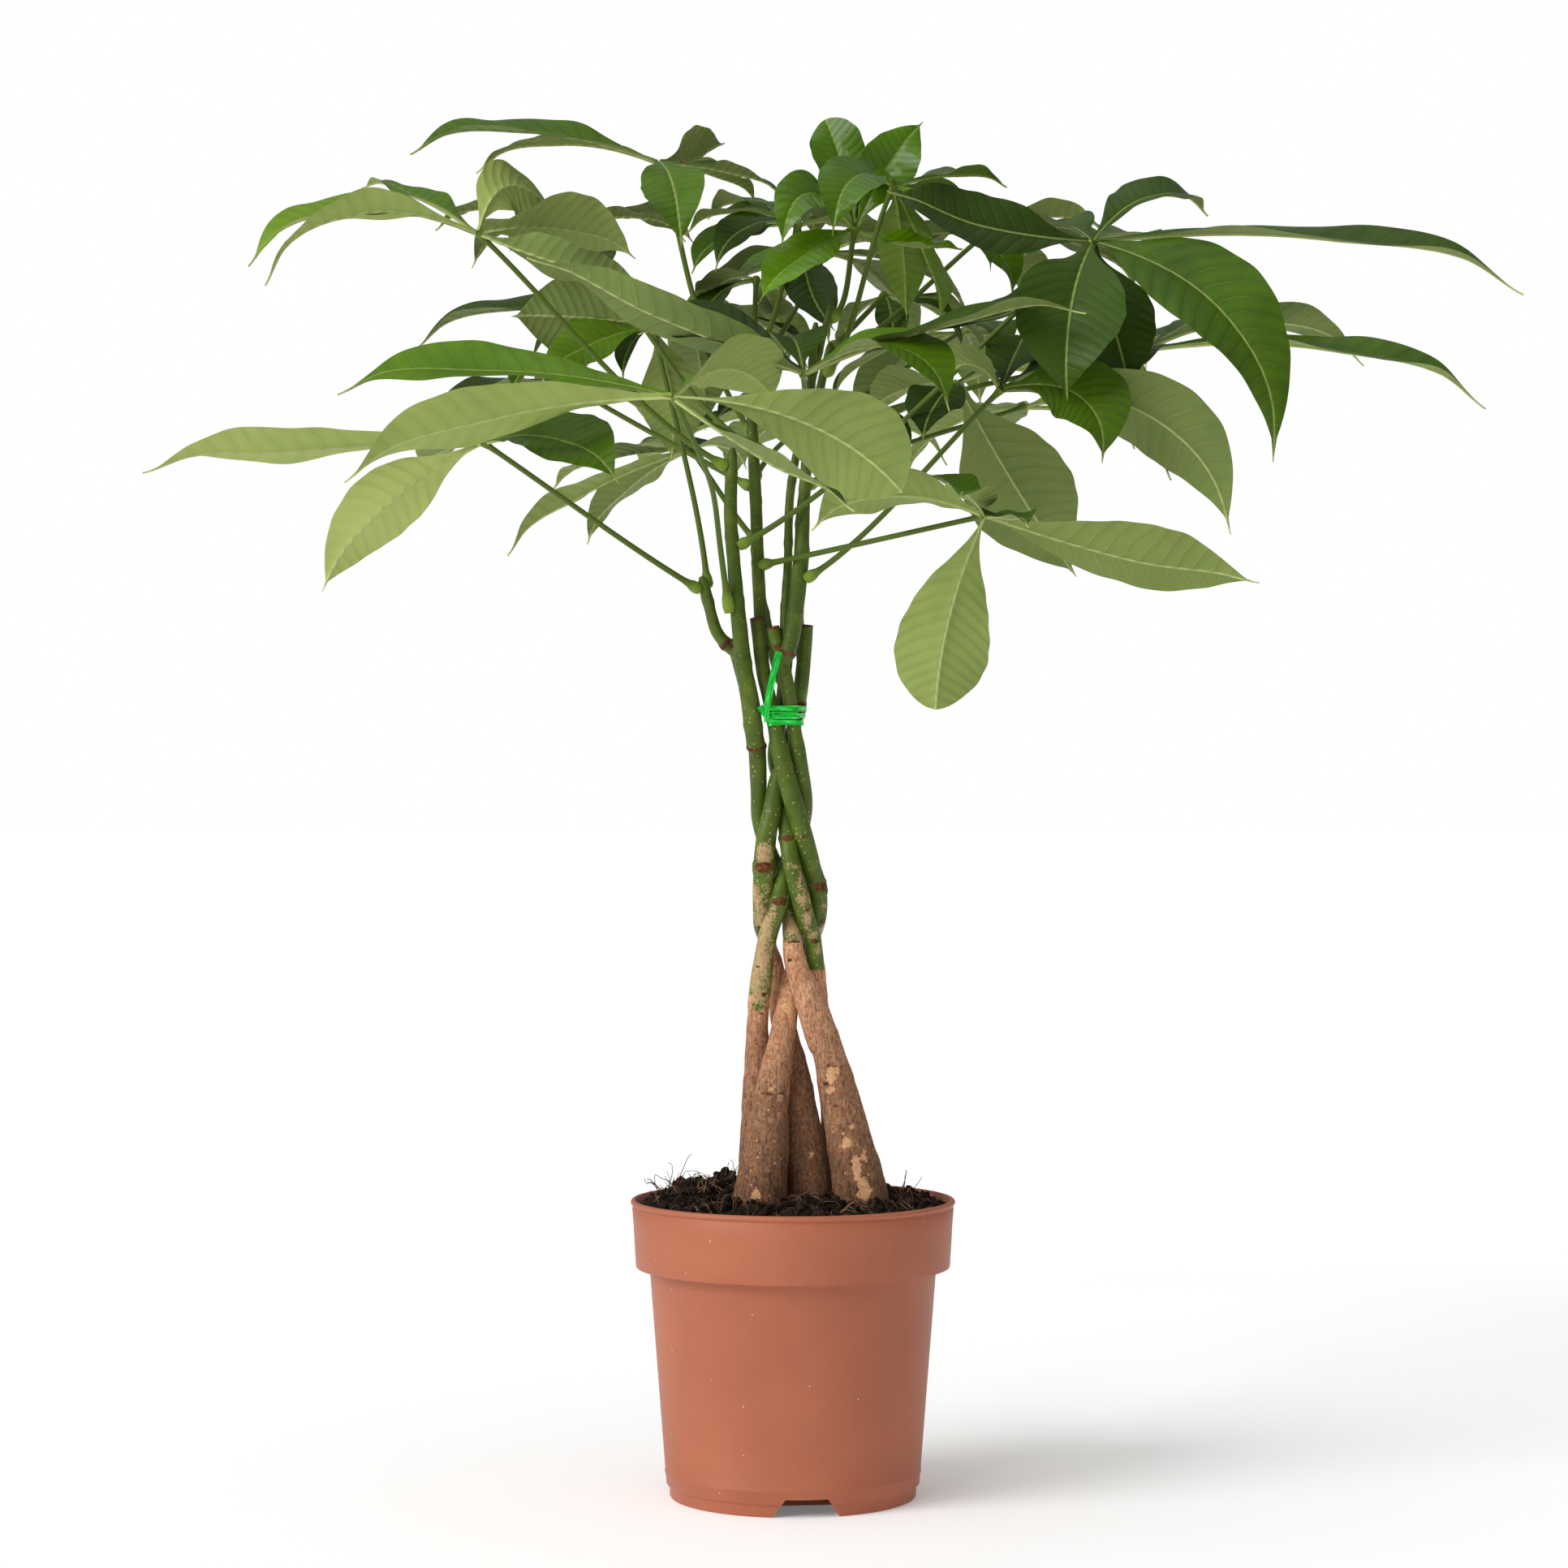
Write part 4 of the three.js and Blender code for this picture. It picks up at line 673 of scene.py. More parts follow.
def makeSoil():
    chance = random.Random(7)
    shape = newShape()
    f = soilForm
    blank = (0.0, 0.0, 0.0)

    def spotAt(radius, angle):
        return radius * math.cos(angle), radius * math.sin(angle)

    def circle(radius, z=None):
        ring = []
        for j in range(f["sectors"]):
            x, y = spotAt(radius, 2 * math.pi * j / f["sectors"])
            top = soilHeight(x, y) + clods(x, y) * smooth(82, 74, radius)  # smoother by the wall
            ring.append(Vector((x, y, top if z is None else z)))
        return ring

    def anywhere(reach):
        return reach * math.sqrt(chance.random()), chance.uniform(0, 2 * math.pi)

    rings = [circle(f["edge"] - 3, f["depth"] + 6), circle(f["edge"] - 0.6, f["below"])]
    rings += [circle(f["edge"] * (1 - i / f["rings"]) + 0.4) for i in range(f["rings"])]
    addSkin(shape, rings, [[blank] * f["sectors"]] * len(rings))
    ball = bmesh.new()
    bmesh.ops.create_icosphere(ball, subdivisions=1, radius=1)
    ballPoints = [v.co.copy() for v in ball.verts]
    ballFaces = [[v.index for v in face.verts] for face in ball.faces]
    ball.free()
    for _ in range(f["crumbs"]):
        radius, angle = anywhere(f["reach"])
        x, y = spotAt(radius, angle)
        size = chance.uniform(*f["crumbSize"]) * (1 if radius < f["reach"] - 3 else 0.6)
        at = Vector((x, y, ground(x, y) + size * 0.3))
        stretch = Vector((chance.uniform(0.7, 1.4), chance.uniform(0.7, 1.4), chance.uniform(0.5, 1)))
        turn = Quaternion((chance.random(), chance.random(), chance.random()), chance.uniform(0, 6))
        start = len(shape["points"])
        for point in ballPoints:
            bent = point * (1 + 0.5 * noise.noise(point * 1.7 + at))
            shape["points"].append(at + turn @ (bent * stretch) * size)
            shape["marks"].append(blank)
        shape["faces"].extend([tuple(start + i for i in face) for face in ballFaces])
        shape["slots"].extend([0] * len(ballFaces))
    fibres = []  # place, heading, length, height at the end
    for _ in range(f["fibres"]):
        fibres.append((*spotAt(*anywhere(f["reach"] - 1)), chance.uniform(0, 2 * math.pi),
                       chance.uniform(*f["fibreLength"]), 0))
    for x, y, height in f["tufts"]:
        spread = f["tuftSpread"]
        fibres += [(x + chance.uniform(-spread, spread), y + chance.uniform(-spread, spread),
                    chance.uniform(0, 2 * math.pi), height * chance.uniform(0.4, 0.9),
                    height * chance.uniform(0.5, 1)) for _ in range(f["tuftFibres"])]
    for number, (x, y, heading, length, height) in enumerate(fibres):
        line = []
        curl = chance.uniform(*f["curl"])
        for i in range(f["fibrePoints"]):
            t = i / (f["fibrePoints"] - 1)
            along = length * t + 0.12 * curl * math.sin(7 * t + number)
            aside = curl * math.sin(3.4 * t + number) - curl * math.sin(number)
            spot = Vector((x + along * math.cos(heading) - aside * math.sin(heading),
                           y + along * math.sin(heading) + aside * math.cos(heading), 0))
            if math.hypot(spot.x, spot.y) > f["reach"]:
                break
            lift = height * t if height else 0.7 + 2.2 * math.sin(math.pi * t) * (number % 3) / 2
            spot.z = ground(spot.x, spot.y) + lift
            line.append(Vector((*spot, f["fibre"] * (1.5 if height else 1) * (1 - 0.5 * t))))
        if len(line) > 2:
            addSkin(shape, tubeRings(line, 4), [[blank] * 4] * len(line), lambda place: 1, (1, 1))
    newPiece("potting_soil", shape, [pottingMix(), coirFibre()], "soil")


makeSoil()
print("soil made")

# Tie: a strip of green metallised film, wound round the stems and twisted
tieForm = {
    "foot": 402.4, "width": 3.6, "thickness": 0.3, "turns": 2.6, "rise": 3.7, "startAngle": 2.6,
    "stepsPerTurn": 56, "loose": 0.75,
    "tail": [[-14.2, -13.6, 405.5], [-12.9, -14.6, 417], [-10.2, -15, 430], [-7.4, -14.6, 442]],
    "crinkle": {"band": 0.22, "tail": 0.05, "stub": 0.2},
    "stub": [[-11.8, -12.5, 406], [-14.5, -13.6, 409], [-17.4, -14, 413.5]],
    "tied": ("tree_front_left", "tree_middle", "tree_left_behind", "tree_right_behind"),
}


def greenFoil():
    # metallised film: smooth and strongly green, with lengthwise creases; the light they catch and the dark
    # between them are painted into its colour
    material, tree = newMaterial("greenMetallisedFilm")
    # marks are millimetres along and across the strip
    marks = addNode(tree, "Attribute", {"attribute_name": "marks"})
    drawn = addNode(tree, "Mapping", {"Vector": marks.outputs["Vector"], "Scale": (0.11, 1.1, 1.0)})
    creases = addNode(tree, "TexNoise", {"Vector": drawn, "Scale": 1.0, "Detail": 3.0, "Roughness": 0.6})
    # painted highlights and painted shade: the crease noise runs the colour from dark green up to a nearly
    # white highlight
    colour = addNode(tree, "ValToRGB", {
        "Fac": creases, "stops": [(0.34, "#03701A"), (0.46, "#0FC233"), (0.6, "#2FE052"), (0.7, "#8CFAA0")]})
    bump = addNode(tree, "Bump", {"Height": creases, "Strength": 0.7, "Distance": 0.0006})
    return surfaced(material, {"Base Color": colour, "Normal": bump, "Metallic": 0.6, "Roughness": 0.3})


def bandPoint(turn, loose):
    z = tieForm["foot"] + tieForm["width"] / 2 + turn * tieForm["rise"]
    outward = levelDirection(2 * math.pi * turn - tieForm["startAngle"])
    found = [routeAt(trees[name]["stem"], z) for name in tieForm["tied"]]
    at, radius, _ = max(found, key=lambda stem: stem[0].dot(outward) + stem[1])
    place = at + outward * (radius + loose)
    return Vector((place.x, place.y, z)), outward


def makeTie():
    shape = newShape()
    f = tieForm
    sides = [(a, 1) for a in (-1, -0.55, -0.15, 0.3, 0.65, 1)]
    sides += [(a, -1) for a, _ in sides[::-1]]

    def strip(places, outwards, widths, crinkled):
        rings, marks = [], []
        reach = 0.0
        for i, (at, outward) in enumerate(zip(places, outwards)):
            along = (places[min(i + 1, len(places) - 1)] - places[max(i - 1, 0)]).normalized()
            out = (outward - along * outward.dot(along)).normalized()
            across = along.cross(out)
            reach += (at - places[max(i - 1, 0)]).length
            ring = []
            for a, side in sides:
                crinkle = crinkled * noise.noise(at * 0.35 + across * a * 1.6)
                ring.append(at + across * a * widths[i] / 2 + out * (side * f["thickness"] / 2 + crinkle))
            rings.append(ring)
            marks.append([(reach, a * widths[i] / 2, 0.0) for a, _ in sides])
        addSkin(shape, rings, marks, creases=range(len(sides)))

    steps = range(round(f["turns"] * f["stepsPerTurn"]) + 1)
    band = [bandPoint(i / f["stepsPerTurn"], f["loose"] + 0.25 * math.sin(i * 0.4)) for i in steps]
    tugged = [at + Vector((0, 0, 0.5 * math.sin(i * 0.23))) for i, (at, _) in enumerate(band)]
    widths = [f["width"] * (0.85 + 0.15 * math.sin(i * 0.31)) for i in steps]
    strip(tugged, [outward for _, outward in band], widths, f["crinkle"]["band"])
    for name in ("tail", "stub"):
        line = [s.xyz for s in smoothRoute([[*p, 1] for p in f[name]], 1.6)]
        widths = [f["width"] * (0.5 + 0.5 * min(1, i / 6)) for i in range(len(line))]
        strip(line, [Vector((0.15, -1, 0))] * len(line), widths, f["crinkle"][name])
    newPiece("green_twist_tie", shape, [greenFoil()], "twist_tie")


makeTie()
print("tie made")

# Leaves: palmate leaves on long stalks. Each one grows from a height on a shoot. Its hub is
# where the leaflets meet, and each leaflet is [x, y, z, width, rise, show]: its tip from the hub,
# its width, how far its midrib arches, and how far its upper side turns to the front in degrees.
# Tones run from dark 0 to light 1; they are each leaflet's own green and also painted light and shade,
# darker for leaflets that lie in shade and lighter for lit ones. Leaflets named blunt, late or early have
# another outline.
leaves = {
    "leaf_front_left": {
        "from": ["leftMain", 441], "hub": [-59, -130, 563], "upward": 3, "leaving": 200, "handle": 0.5,
        "sway": -12, "blunt": (2, 3), "late": (3,), "tonesAndPaintedLight": (0.66, 0.62, 0.62, 0.4, 0.3),
        "leaflets": [
            [-160, -14, -43, 42, 12, -34], [-168, 26, 4, 42, 12, 30], [48, 74, 8, 46, 14, -50],
            [112, -12, -48, 56, 13, -70], [88, -58, -60, 26, -2, -14]]},
    "leaf_far_left": {
        "from": ["leftSmall", 473], "hub": [-158, -60, 547], "tonesAndPaintedLight": (0.8, 1.0, 0.55, 0.4, 0.4),
        "leaflets": [
            [-170, -20, -17, 36, 4, -24], [-84, 18, -75, 37, 10, -58], [72, -66, -26, 44, 12, 42],
            [18, 88, 14, 36, 14, 0], [-40, 80, -10, 28, 6, 0]]},
    "leaf_crown_young": {
        "from": ["topYoung", 616], "hub": [33, 10, 666], "young": True, "blunt": (0,),
        "tonesAndPaintedLight": (0.35, 0.42, 0.4, 0.6, 0.6, 0.3),
        "leaflets": [
            [-16, 15, 60, 30, 3, 84], [36, 10, 58, 31, 3, 84], [-39, -35, -16, 28, 24, 56],
            [-50, -55, -45, 31, 5, 54], [56, -10, -12, 26, -3, 20], [-5, 38, 46, 28, 4, 70]]},
    "leaf_crown_right": {
        "from": ["rightBack", 590], "hub": [53, -8, 686], "toneAndPaintedLight": 0.3, "young": True, "sway": 6,
        "leaflets": [
            [-33, -52, -34, 34, 18, 52], [60, 18, 2, 22, 6, 6], [62, -8, -60, 42, 12, 26],
            [27, 30, -65, 26, 8, 30], [8, 52, -50, 28, 10, 0], [40, 60, -6, 28, 4, 0],
            [-20, 60, 4, 28, 4, 0]]},
    "leaf_front_high": {
        "from": ["rightMain", 560], "hub": [5, -70, 581], "early": (0,),
        "tonesAndPaintedLight": (0.22, 0.12, 0.58, 0.3, 0.3),
        "leaflets": [
            [-140, -6, 55, 33, -2, -52], [-85, 34, 20, 40, 10, 46], [73, -30, -22, 48, 24, 18],
            [141, -30, 27, 32, 9, 12], [-10, 84, 16, 36, 14, 0]]},
    "leaf_upper_left": {
        "from": ["leftMain", 538], "hub": [-163, -30, 658], "blunt": (3,),
        "tonesAndPaintedLight": (0.85, 0.8, 0.6, 0.64, 0.55, 0.25),
        "leaflets": [
            [-116, -20, -20, 36, 21, 26], [-102, -60, -35, 32, 24, -18], [-69, 80, 36, 24, 6, 2],
            [34, 30, 18, 38, 17, -95], [80, 38, -8, 40, 9, -50], [84, -20, -27, 30, -3, -40]]},
    "leaf_top_left": {
        "from": ["centreBack", 585], "hub": [-71, 10, 701], "toneAndPaintedLight": 0.4,
        "leaflets": [
            [-129, -20, 1, 34, 14, 23], [-101, 60, 4, 28, 13, 14], [34, 40, 17, 34, -3, -54],
            [14, -66, -54, 35, 12, 60], [66, -12, -20, 22, 5, 4], [52, 44, -14, 26, 5, 0]]},
    "leaf_top_right": {
        "from": ["leftMain", 496], "hub": [154, -40, 652], "early": (1,),
        "tonesAndPaintedLight": (0.3, 0.42, 0.3, 0.15, 0.25, 0.3, 0.4, 0.3, 0.12),
        "leaflets": [
            [216, -30, -31, 36, 16, 16], [86, -54, -118, 56, 29, 44], [-16, -41, -86, 58, 16, 66],
            [-86, -44, -50, 32, -12, 26], [18, -14, -79, 44, 0, 46], [66, 58, 22, 36, 16, 24],
            [44, 92, 4, 28, 8, 8], [-30, 80, 4, 40, 12, 10], [-106, -14, 24, 40, -6, 58]]},
    "leaf_front_right": {
        "from": ["rightMain", 478], "hub": [106, -60, 574], "tonesAndPaintedLight": (0.5, 0.25, 0.4, 0.3, 0.3),
        "leaflets": [
            [50, -17, -39, 48, 20, 50], [117, 2, -74, 44, 29, -58], [-25, 62, 11, 34, 8, -36],
            [18, 64, 34, 32, 4, 24], [84, 56, 6, 36, 16, 0]]},
    "leaf_low_right": {
        "from": ["centreBack", 488], "hub": [95, -110, 506], "upward": 0.1, "blunt": (0,),
        "tonesAndPaintedLight": (0.5, 0.35, 0.5, 0.45, 0.4, 0.35),
        "leaflets": [
            [-24, 8, -96, 50, 5, -74], [136, 0, -33, 39, -4, -52], [-86, 18, -6, 42, 14, -28],
            [-16, -66, 4, 26, 4, 10], [-30, 62, 22, 28, 6, -10], [18, -56, -9, 26, 2, 20]]},
    "leaf_right_hanging": {
        "from": ["rightMain", 545], "hub": [87, 16, 585], "toneAndPaintedLight": 0.3,
        "leaflets": [
            [66, 40, -100, 60, -3, -70], [-46, 44, -14, 34, 8, -20], [-20, -44, -34, 32, 6, 20],
            [70, 78, -8, 38, 16, 0]]},
    "leaf_far_right": {
        "from": ["rightBack", 556], "hub": [189, 50, 607], "toneAndPaintedLight": 0.3,
        "leaflets": [
            [184, 0, -32, 38, 17, 16], [125, 44, -4, 30, 20, -26], [94, 82, 22, 30, 13, -10],
            [-14, -54, -22, 34, 8, 30], [10, 94, 0, 36, 14, 0]]},
    "leaf_crown_left": {
        "from": ["centreBack", 600], "hub": [3, 50, 674], "toneAndPaintedLight": 0.35,
        "leaflets": [
            [-57, -20, -29, 30, 10, 30], [-44, -52, -32, 24, 12, 36], [-61, 14, -3, 28, 10, 10],
            [-50, 60, 12, 30, 10, 6], [10, 70, 0, 32, 14, 0], [50, 56, -14, 30, 12, 0],
            [19, -36, -61, 28, -9, 46]]},
    "leaf_left_backlit": {
        "from": ["leftSmall", 466], "hub": [-76, 80, 623], "upward": 4,
        "tonesAndPaintedLight": (0.22, 0.32, 0.72, 0.55, 0.3),
        "leaflets": [
            [-135, 50, -7, 38, 17, 22], [-77, -10, 4, 46, 2, -78], [-60, -22, -33, 34, 6, 48],
            [10, -4, -74, 36, 5, -60], [45, 50, 6, 32, 8, 10]]},
    "leaf_left_low_behind": {
        "from": ["centreBack", 500], "hub": [-56, 90, 557], "toneAndPaintedLight": 0.4,
        "leaflets": [
            [-100, -8, -59, 34, 8, -8], [-59, 40, -50, 32, 8, -8], [-30, 84, -6, 32, 8, 0],
            [30, 82, -4, 32, 8, 0], [-80, 60, -18, 32, 8, 8]]},
    # The leaves that fill the back and the middle. Each spread is the direction in degrees, the
    # number of leaflets, the length of the longest and how far they droop in degrees.
    "leaf_back_1": {"from": ["back", 560], "hub": [-60, 150, 640], "spread": [110, 6, 112, 26]},
    "leaf_back_2": {"from": ["back", 530], "hub": [-128, 130, 598], "spread": [120, 6, 100, 20], "sway": -6},
    "leaf_back_3": {"from": ["back", 590], "hub": [20, 170, 676], "spread": [80, 6, 108, 22]},
    "leaf_back_4": {"from": ["rightBack", 560], "hub": [95, 150, 628], "spread": [55, 6, 118, 26]},
    "leaf_back_5": {"from": ["rightBack", 530], "hub": [130, 140, 585], "spread": [50, 5, 104, 18]},
    "leaf_back_6": {"from": ["back", 535], "hub": [10, 175, 582], "spread": [95, 6, 104, 14]},
    "leaf_back_7": {"from": ["centreBack", 550], "hub": [-120, 100, 680], "spread": [110, 6, 92, 10]},
    "leaf_back_8": {"from": ["rightBack", 596], "hub": [105, 90, 674], "spread": [40, 6, 100, 16]},
    "leaf_inner_1": {"from": ["back", 600], "hub": [-20, 90, 650], "spread": [120, 5, 70, 34]},
    "leaf_inner_2": {"from": ["rightBack", 604], "hub": [50, 80, 640], "spread": [20, 5, 66, 34]},
}

leafForm = {
    "stations": 64,  # cross-sections along a leaflet
    "columns": (-1, -0.88, -0.68, -0.46, -0.24, -0.07, 0, 0.07, 0.24, 0.46, 0.68, 0.88, 1),
    "coarseStations": 15, "coarseColumns": (-1, -0.5, 0, 0.5, 1),  # for the tests of what crosses
    "thickness": 0.5, "rootRib": 1.7, "tipRib": 0.6,
    "ribReach": 0.9,  # mm from the middle to where the raised midrib ends
    "crest": 0.58,  # how far along the leaflet the pull of its arch is
    "fold": 14, "archLean": 0.35, "wave": 2.2, "waves": 1.6, "wavePhase": 2.4, "roll": 0.16,
    "widest": {"plain": 0.55, "blunt": 0.68, "early": 0.4, "late": 0.74},  # how far along it
    "fullness": {"plain": 0.85, "blunt": 0.55, "early": 0.9, "late": 0.75}, "rootWidth": 1.8,
    "ripple": 0.012,  # share of the width by which the margin goes in and out
    "veins": 15, "veinSpacing": 4.6,  # side veins along a leaflet, and their least distance
    "quilt": 0.32,  # mm that the blade puffs up between side veins
    "tail": 0.1,  # width of the drawn-out tip as a share of the leaflet's
    "hook": 4,  # mm by which a long leaflet humps before its tip curls under
    "petiole": 1.35, "footRadius": 1.15, "footThicker": 0.35, "upward": 0.5, "handle": 0.3,
    "hub": 2.4, "hubLength": 4.5, "stalkStations": 30, "stalkSides": 12,
    "cushion": 3.0, "cushionMiddle": 3.2, "cushionLength": 4.2,  # the swollen joint at the shoot
    "sunk": 1.0,  # mm by which a stalk's foot goes into the shoot
}
fan = {"spacing": 52, "shorter": 0.11, "width": 0.36, "rise": 0.15, "unevenDroop": 9, "unevenShow": 14}


def spreadLeaflets(heading, count, longest, droop):
    leaflets = []
    for i in range(count):
        fromMiddle = i - (count - 1) / 2
        angle = math.radians(heading + fromMiddle * fan["spacing"])
        reach = longest * (1 - fan["shorter"] * abs(fromMiddle))
        fall = math.radians(droop + fan["unevenDroop"] * math.sin(2.1 * i + heading))
        flat = reach * math.cos(fall)
        leaflets.append([flat * math.cos(angle), flat * math.sin(angle), -reach * math.sin(fall),
                         reach * fan["width"], reach * fan["rise"],
                         fan["unevenShow"] * math.sin(1.7 * i + heading)])
    return leaflets


def leafletOutline(share, kind):  # width as a share of the greatest
    f = leafForm
    rounded = kind in ("blunt", "late")
    body = share if rounded else min(1.0, share / 0.95)
    bent = body ** (math.log(0.5) / math.log(f["widest"][kind]))
    width = max(0.0, math.sin(math.pi * min(1.0, bent))) ** f["fullness"][kind]
    width *= (1 - 0.25 * body ** 6) * (0.42 + 0.58 * smooth(0, 0.36 if kind != "early" else 0.2, share))
    return width if rounded else max(width, f["tail"] * min(1.0, (1 - share) / 0.13))


# The cross-sections of one leaflet: rings of points, their marks (side-vein count, millimetres
# from the midrib, tone with painted light and shade, share of the half width), and the grid of its upper
# side.
def leafletRings(hub, leaflet, number, toneAndPaintedLight, kind, stations, columns):
    f = leafForm
    x, y, z, width, rise, show = leaflet
    tip = Vector((x, y, z))
    chord = tip.normalized()
    up = Vector((x, y, 0)).normalized() * f["archLean"] + Vector((0, 0, 1))
    up = (up - chord * up.dot(chord)).normalized()
    middle = tip * f["crest"] + up * 2 * rise
    root = middle.normalized()
    facing = Vector((0, -math.sin(math.radians(show)), math.cos(math.radians(show))))
    facing = (facing - chord * facing.dot(chord)).normalized()
    length = tip.length
    spacing = max(f["veinSpacing"], length / f["veins"])
    roll = f["roll"] * math.sin(number * 2.3 + x)
    hook = 0 if kind in ("blunt", "late") else f["hook"] * length / 150
    rings, marks, upper = [], [], []
    for i in range(stations):
        t = 1 - (1 - i / (stations - 1)) ** 1.05
        at = root * (1 - t) ** 2 + middle * 2 * t * (1 - t) + tip * t * t
        along = ((middle - root) * (1 - t) + (tip - middle) * t).normalized()
        normal = chord.rotation_difference(along) @ facing
        normal = Quaternion(along, roll * t * t) @ normal
        at = at + normal * hook * (smooth(0.5, 0.82, t) - smooth(0.82, 1, t))
        side = normal.cross(along).normalized()
        margin = 1 + f["ripple"] * (math.sin(length * t / spacing * math.pi + number) + math.sin(7 * t + x))
        half = max(width * leafletOutline(t, kind) * margin, f["rootWidth"] * (1 - 0.75 * t)) / 2
        rib = f["rootRib"] + t * (f["tipRib"] - f["rootRib"])
        wave = f["wave"] * min(1, half / 10)
        topRow, underRow, topMarks, underMarks = [], [], [], []
        for u in columns:
            a = abs(u)
            handed = 1 if u > 0 else -1
            phase = 2 * math.pi * f["waves"] * t + f["wavePhase"] * number + handed
            across = a * half
            veins = (length * t - 0.36 * across - 0.011 * across * across) / spacing + 0.3 * handed * (a > 0)
            lift = half * math.sin(math.radians(f["fold"])) * (1.25 * a - 0.25 * a * a)
            lift += wave * math.sin(phase) * a ** 1.6 + 0.22 * wave * math.sin(phase * 2.7 + x) * a ** 2.5
            puff = abs(math.sin(math.pi * veins)) ** 0.8 - 0.6
            lift += f["quilt"] * puff * smooth(0.6, 5, across) * (1 - smooth(0.75, 1, a)) * min(1, half / 9)
            place = hub + at + side * u * half * math.cos(math.radians(f["fold"])) + normal * lift
            thick = f["thickness"] / 2 * (1 - 0.75 * a ** 3)
            ridge = max(0.0, 1 - across / f["ribReach"])
            mark = (veins, across, toneAndPaintedLight, a if half > 1.5 else 0.0)
            topRow.append(place + normal * (thick - 0.3 * rib * ridge))
            topMarks.append(mark)
            if a < 1:
                underRow.append(place - normal * (thick + rib * ridge))
                underMarks.append(mark)
        rings.append(topRow + underRow[::-1])
        marks.append(topMarks + underMarks[::-1])
        upper.append(topRow)
    return rings, marks, upper


def gridTree(rows):  # a search tree of a grid's triangles
    width = len(rows[0])
    points = [p for row in rows for p in row]
    faces = [(i * width + j, i * width + j + 1, (i + 1) * width + j + 1, (i + 1) * width + j)
             for i in range(len(rows) - 1) for j in range(width - 1)]
    return BVHTree.FromPolygons(points, faces, epsilon=0.0)


def boxOf(rows):
    points = [p for row in rows for p in row]
    return [min(p[k] for p in points) for k in range(3)], [max(p[k] for p in points) for k in range(3)]


def boxesMeet(a, b):
    return all(a[0][k] <= b[1][k] and b[0][k] <= a[1][k] for k in range(3))


placed = []  # (box, search tree) of everything that a leaflet has to stay clear of
for tree in trees.values():
    for route in [tree["stem"], *tree["shoots"].values()]:
        stemRows = [ring + ring[:1] for ring in tubeRings(smoothRoute(route, 6), 8)]
        placed.append((boxOf(stemRows), gridTree(stemRows)))


def crossings(rows):
    box, tree = boxOf(rows), gridTree(rows)
    return sum(len(tree.overlap(other)) for otherBox, other in placed if boxesMeet(box, otherBox))


depths = (0, 7, -7, 14, -14, 21, -21, 28, -28, 36, -36, 45, -45)
tipShifts = [(depth, height) for height in (0, -14, 14) for depth in depths]
nudges = sorted([(dy, dz, turn) for dy in (0, 5, -5, 10, -10) for dz in (0, 4, -4) for turn in (0, 12, -12)],
                key=lambda n: abs(n[0]) / 5 + abs(n[1]) / 4 + abs(n[2]) / 12)


# The frame moved some tips in depth or height to keep them clear. The one that it used has a
# corner of the leaf's solid at the tip.
def frameShift(nodeTree, hub, leaflet):
    x, y, z = leaflet[:3]
    found = [(nodeTree.find((hub + Vector((x, y + dy, z + dz))) * mm)[2], (dy, dz)) for dy, dz in tipShifts]
    distance, shift = min(found)
    return shift if distance < 1.2 * mm else (0, 0)


def petioleLine(leaf):
    f = leafForm
    shoot, height = leaf["from"]
    at, radius, along = routeAt(allShoots[shoot], height)
    hub = Vector(leaf["hub"])
    toHub = hub - at
    away = Vector((toHub.x, toHub.y, 0)).normalized()
    leaving = away
    if "leaving" in leaf:
        leaving = levelDirection(math.radians(leaf["leaving"]))
    start = (leaving + Vector((0, 0, leaf.get("upward", f["upward"])))).normalized()
    lean = abs(start.dot(along))
    foot = at + start * ((radius + 0.1 + f["footRadius"] * lean) / math.sqrt(1 - lean ** 2) - f["sunk"])
    length = (hub - foot).length
    sideways = away.cross(Vector((0, 0, 1))) * leaf.get("sway", 0)
    handle = leaf.get("handle", f["handle"]) * length
    first = foot + start * handle + sideways
    second = hub - toHub.normalized() * handle + sideways
    line = []
    for i in range(f["stalkStations"] + 1):
        t = (i / f["stalkStations"]) ** 1.25
        place = (foot * (1 - t) ** 3 + first * 3 * t * (1 - t) ** 2 + second * 3 * t * t * (1 - t)
                 + hub * t ** 3)
        fromFoot, fromHub = length * t, length * (1 - t)
        fromCushion = (fromFoot - f["cushionMiddle"]) / f["cushionLength"]
        cushion = (f["cushion"] - f["petiole"]) * math.exp(-fromCushion ** 2)
        knob = (f["hub"] - f["petiole"]) * math.exp(-(fromHub / f["hubLength"]) ** 2)
        thicker = f["footThicker"] * math.exp(-fromFoot / 40)
        line.append(Vector((*place, f["petiole"] + cushion + knob + thicker)))
    return line


